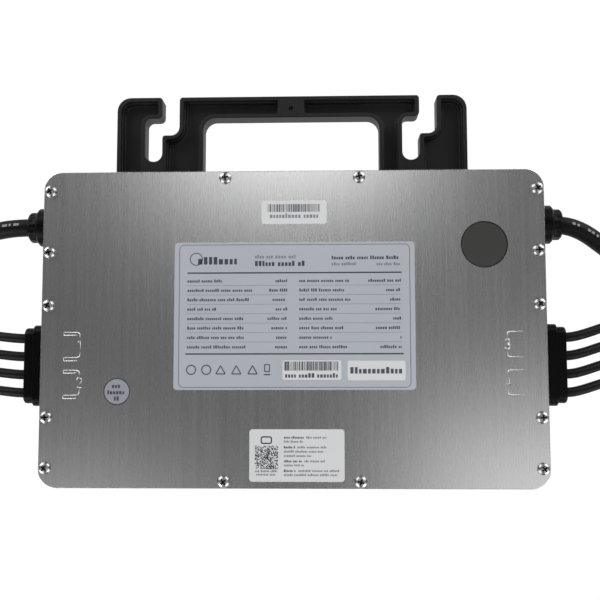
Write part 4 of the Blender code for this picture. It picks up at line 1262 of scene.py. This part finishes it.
def check_sticker():
    """The small round inspection sticker."""
    label = sticker("check_sticker", (-96.9, -35.2), rectangle(15.2, 15.2, 7.58), 9, "stamp_film")
    label.outline("ink_dark", rectangle(15.1, 15.1, 7.53), 0.7)
    label.text("ink_dark", -2.7, 2.7, 3.2, 2.6)
    label.text("ink_dark", -5.2, 5.2, -0.3, 2.4, 12)
    label.text("ink_dark", -1.5, 1.5, -3.8, 2.4)
    label.finish("check_print")


DIGITS = {
    1: [(-0.9, 1.3), (0.2, 2.2), (0.2, -2.2)],
    2: [(-1.2, 1.4), (-0.5, 2.2), (0.6, 2.2), (1.2, 1.4), (1.0, 0.5), (-1.2, -2.2), (1.3, -2.2)],
    3: [(-1.2, 1.7), (-0.4, 2.3), (0.6, 2.2), (1.1, 1.4), (0.7, 0.4), (-0.2, 0.1), (0.9, -0.3),
        (1.3, -1.2), (0.6, -2.2), (-0.5, -2.3), (-1.3, -1.6)],
    4: [(0.6, -2.2), (0.6, 2.2), (-1.4, -0.8), (1.5, -0.8)],
}
DIGIT_SCALE = 1.2
MARK_SPINE = 118.0
MARK_END = 126.8
MARK_SPANS = ((-2.3, -16.5), (-23.3, -37.3))
MARK_GAP = 3.9
MARK_RADIUS = 0.34
MARK_SUNK = 0.1


def mark_strokes(sign, top, bottom, digit):
    """A mark's two arms, each turned in to the spine, and the digit between them."""
    middle = (top + bottom) / 2
    strokes = []
    for y, inwards in ((top, -1), (bottom, 1)):
        strokes.append([(MARK_END, y), (MARK_SPINE + 1.3, y), (MARK_SPINE + 0.2, y + inwards),
                        (MARK_SPINE, middle - inwards * MARK_GAP)])
        if sign < 0:
            strokes.append([(MARK_END, y), (MARK_END + 0.5, y - 0.8), (MARK_END, y - 1.6),
                            (MARK_SPINE + 1.6, y - 1.6)])
    strokes = [[(sign * x, y) for x, y in line] for line in strokes]
    figure = [(sign * MARK_SPINE + DIGIT_SCALE * x, middle + DIGIT_SCALE * y) for x, y in DIGITS[digit]]
    return strokes + [figure]


def port_marks():
    """Struck marks beside the DC leads, one for each of the four inputs."""
    places = [(side, *span) for side in ("left", "right") for span in MARK_SPANS]
    for digit, (side, top, bottom) in enumerate(places, 1):
        curve = bpy.data.curves.new(f"port_mark_{digit}", "CURVE")
        curve.dimensions = "3D"
        curve.bevel_depth = MARK_RADIUS * MM
        curve.bevel_resolution = 4
        curve.use_fill_caps = True
        curve.materials.append(MATERIALS["strike_metal"])
        for line in mark_strokes(SIDES[side], top, bottom, digit):
            spline = curve.splines.new("POLY")
            spline.points.add(len(line) - 1)
            for place, (x, y) in zip(spline.points, line):
                place.co = (x * MM, y * MM, (PLATE_TOP - MARK_SUNK) * MM, 1.0)
        obj = bpy.data.objects.new(f"port_mark_{digit}", curve)
        bpy.context.scene.collection.objects.link(obj)
        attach(obj, BODY)


# ---- carried-over parts and floor


INNER_LOOKS = {
    "seal_rubber": ("cover_gasket",),
    "board_green": ("main_circuit_board", "radio_board"),
    "potting_grey": ("potting_layer",),
    "ferrite": ("output_filter_choke", "transformer_1", "transformer_2", "transformer_3", "transformer_4"),
    "relay_blue": ("grid_relay",),
    "capacitor_sleeve": ("input_capacitor_1", "input_capacitor_2"),
}


def dress_inner_parts():
    """Gives the solids that stay as they are, inside the housing, their materials."""
    for material, nodes in INNER_LOOKS.items():
        for node in nodes:
            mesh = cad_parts[node].data
            mesh.materials.clear()
            mesh.materials.append(MATERIALS[material])


FLOOR_SIDE = 6000.0
FLOOR_DROP = 0.3


def floor():
    """A wide sheet just under the object, which isn't part of it."""
    bm = bmesh.new()
    bmesh.ops.create_grid(bm, x_segments=1, y_segments=1, size=FLOOR_SIDE / 2)
    obj = helper("floor", placed(bm, (0, 0, -FLOOR_DROP)))
    obj.data.materials.append(MATERIALS["floor_light"])


MATERIALS = make_materials()
make_camera()
ac_leads()
dc_leads()
ac_glands()
dc_glands()
housing()
cover()
screws()
bracket()
rating_label()
serial_sticker()
info_sticker()
check_sticker()
port_marks()
dress_inner_parts()
floor()
make_light()
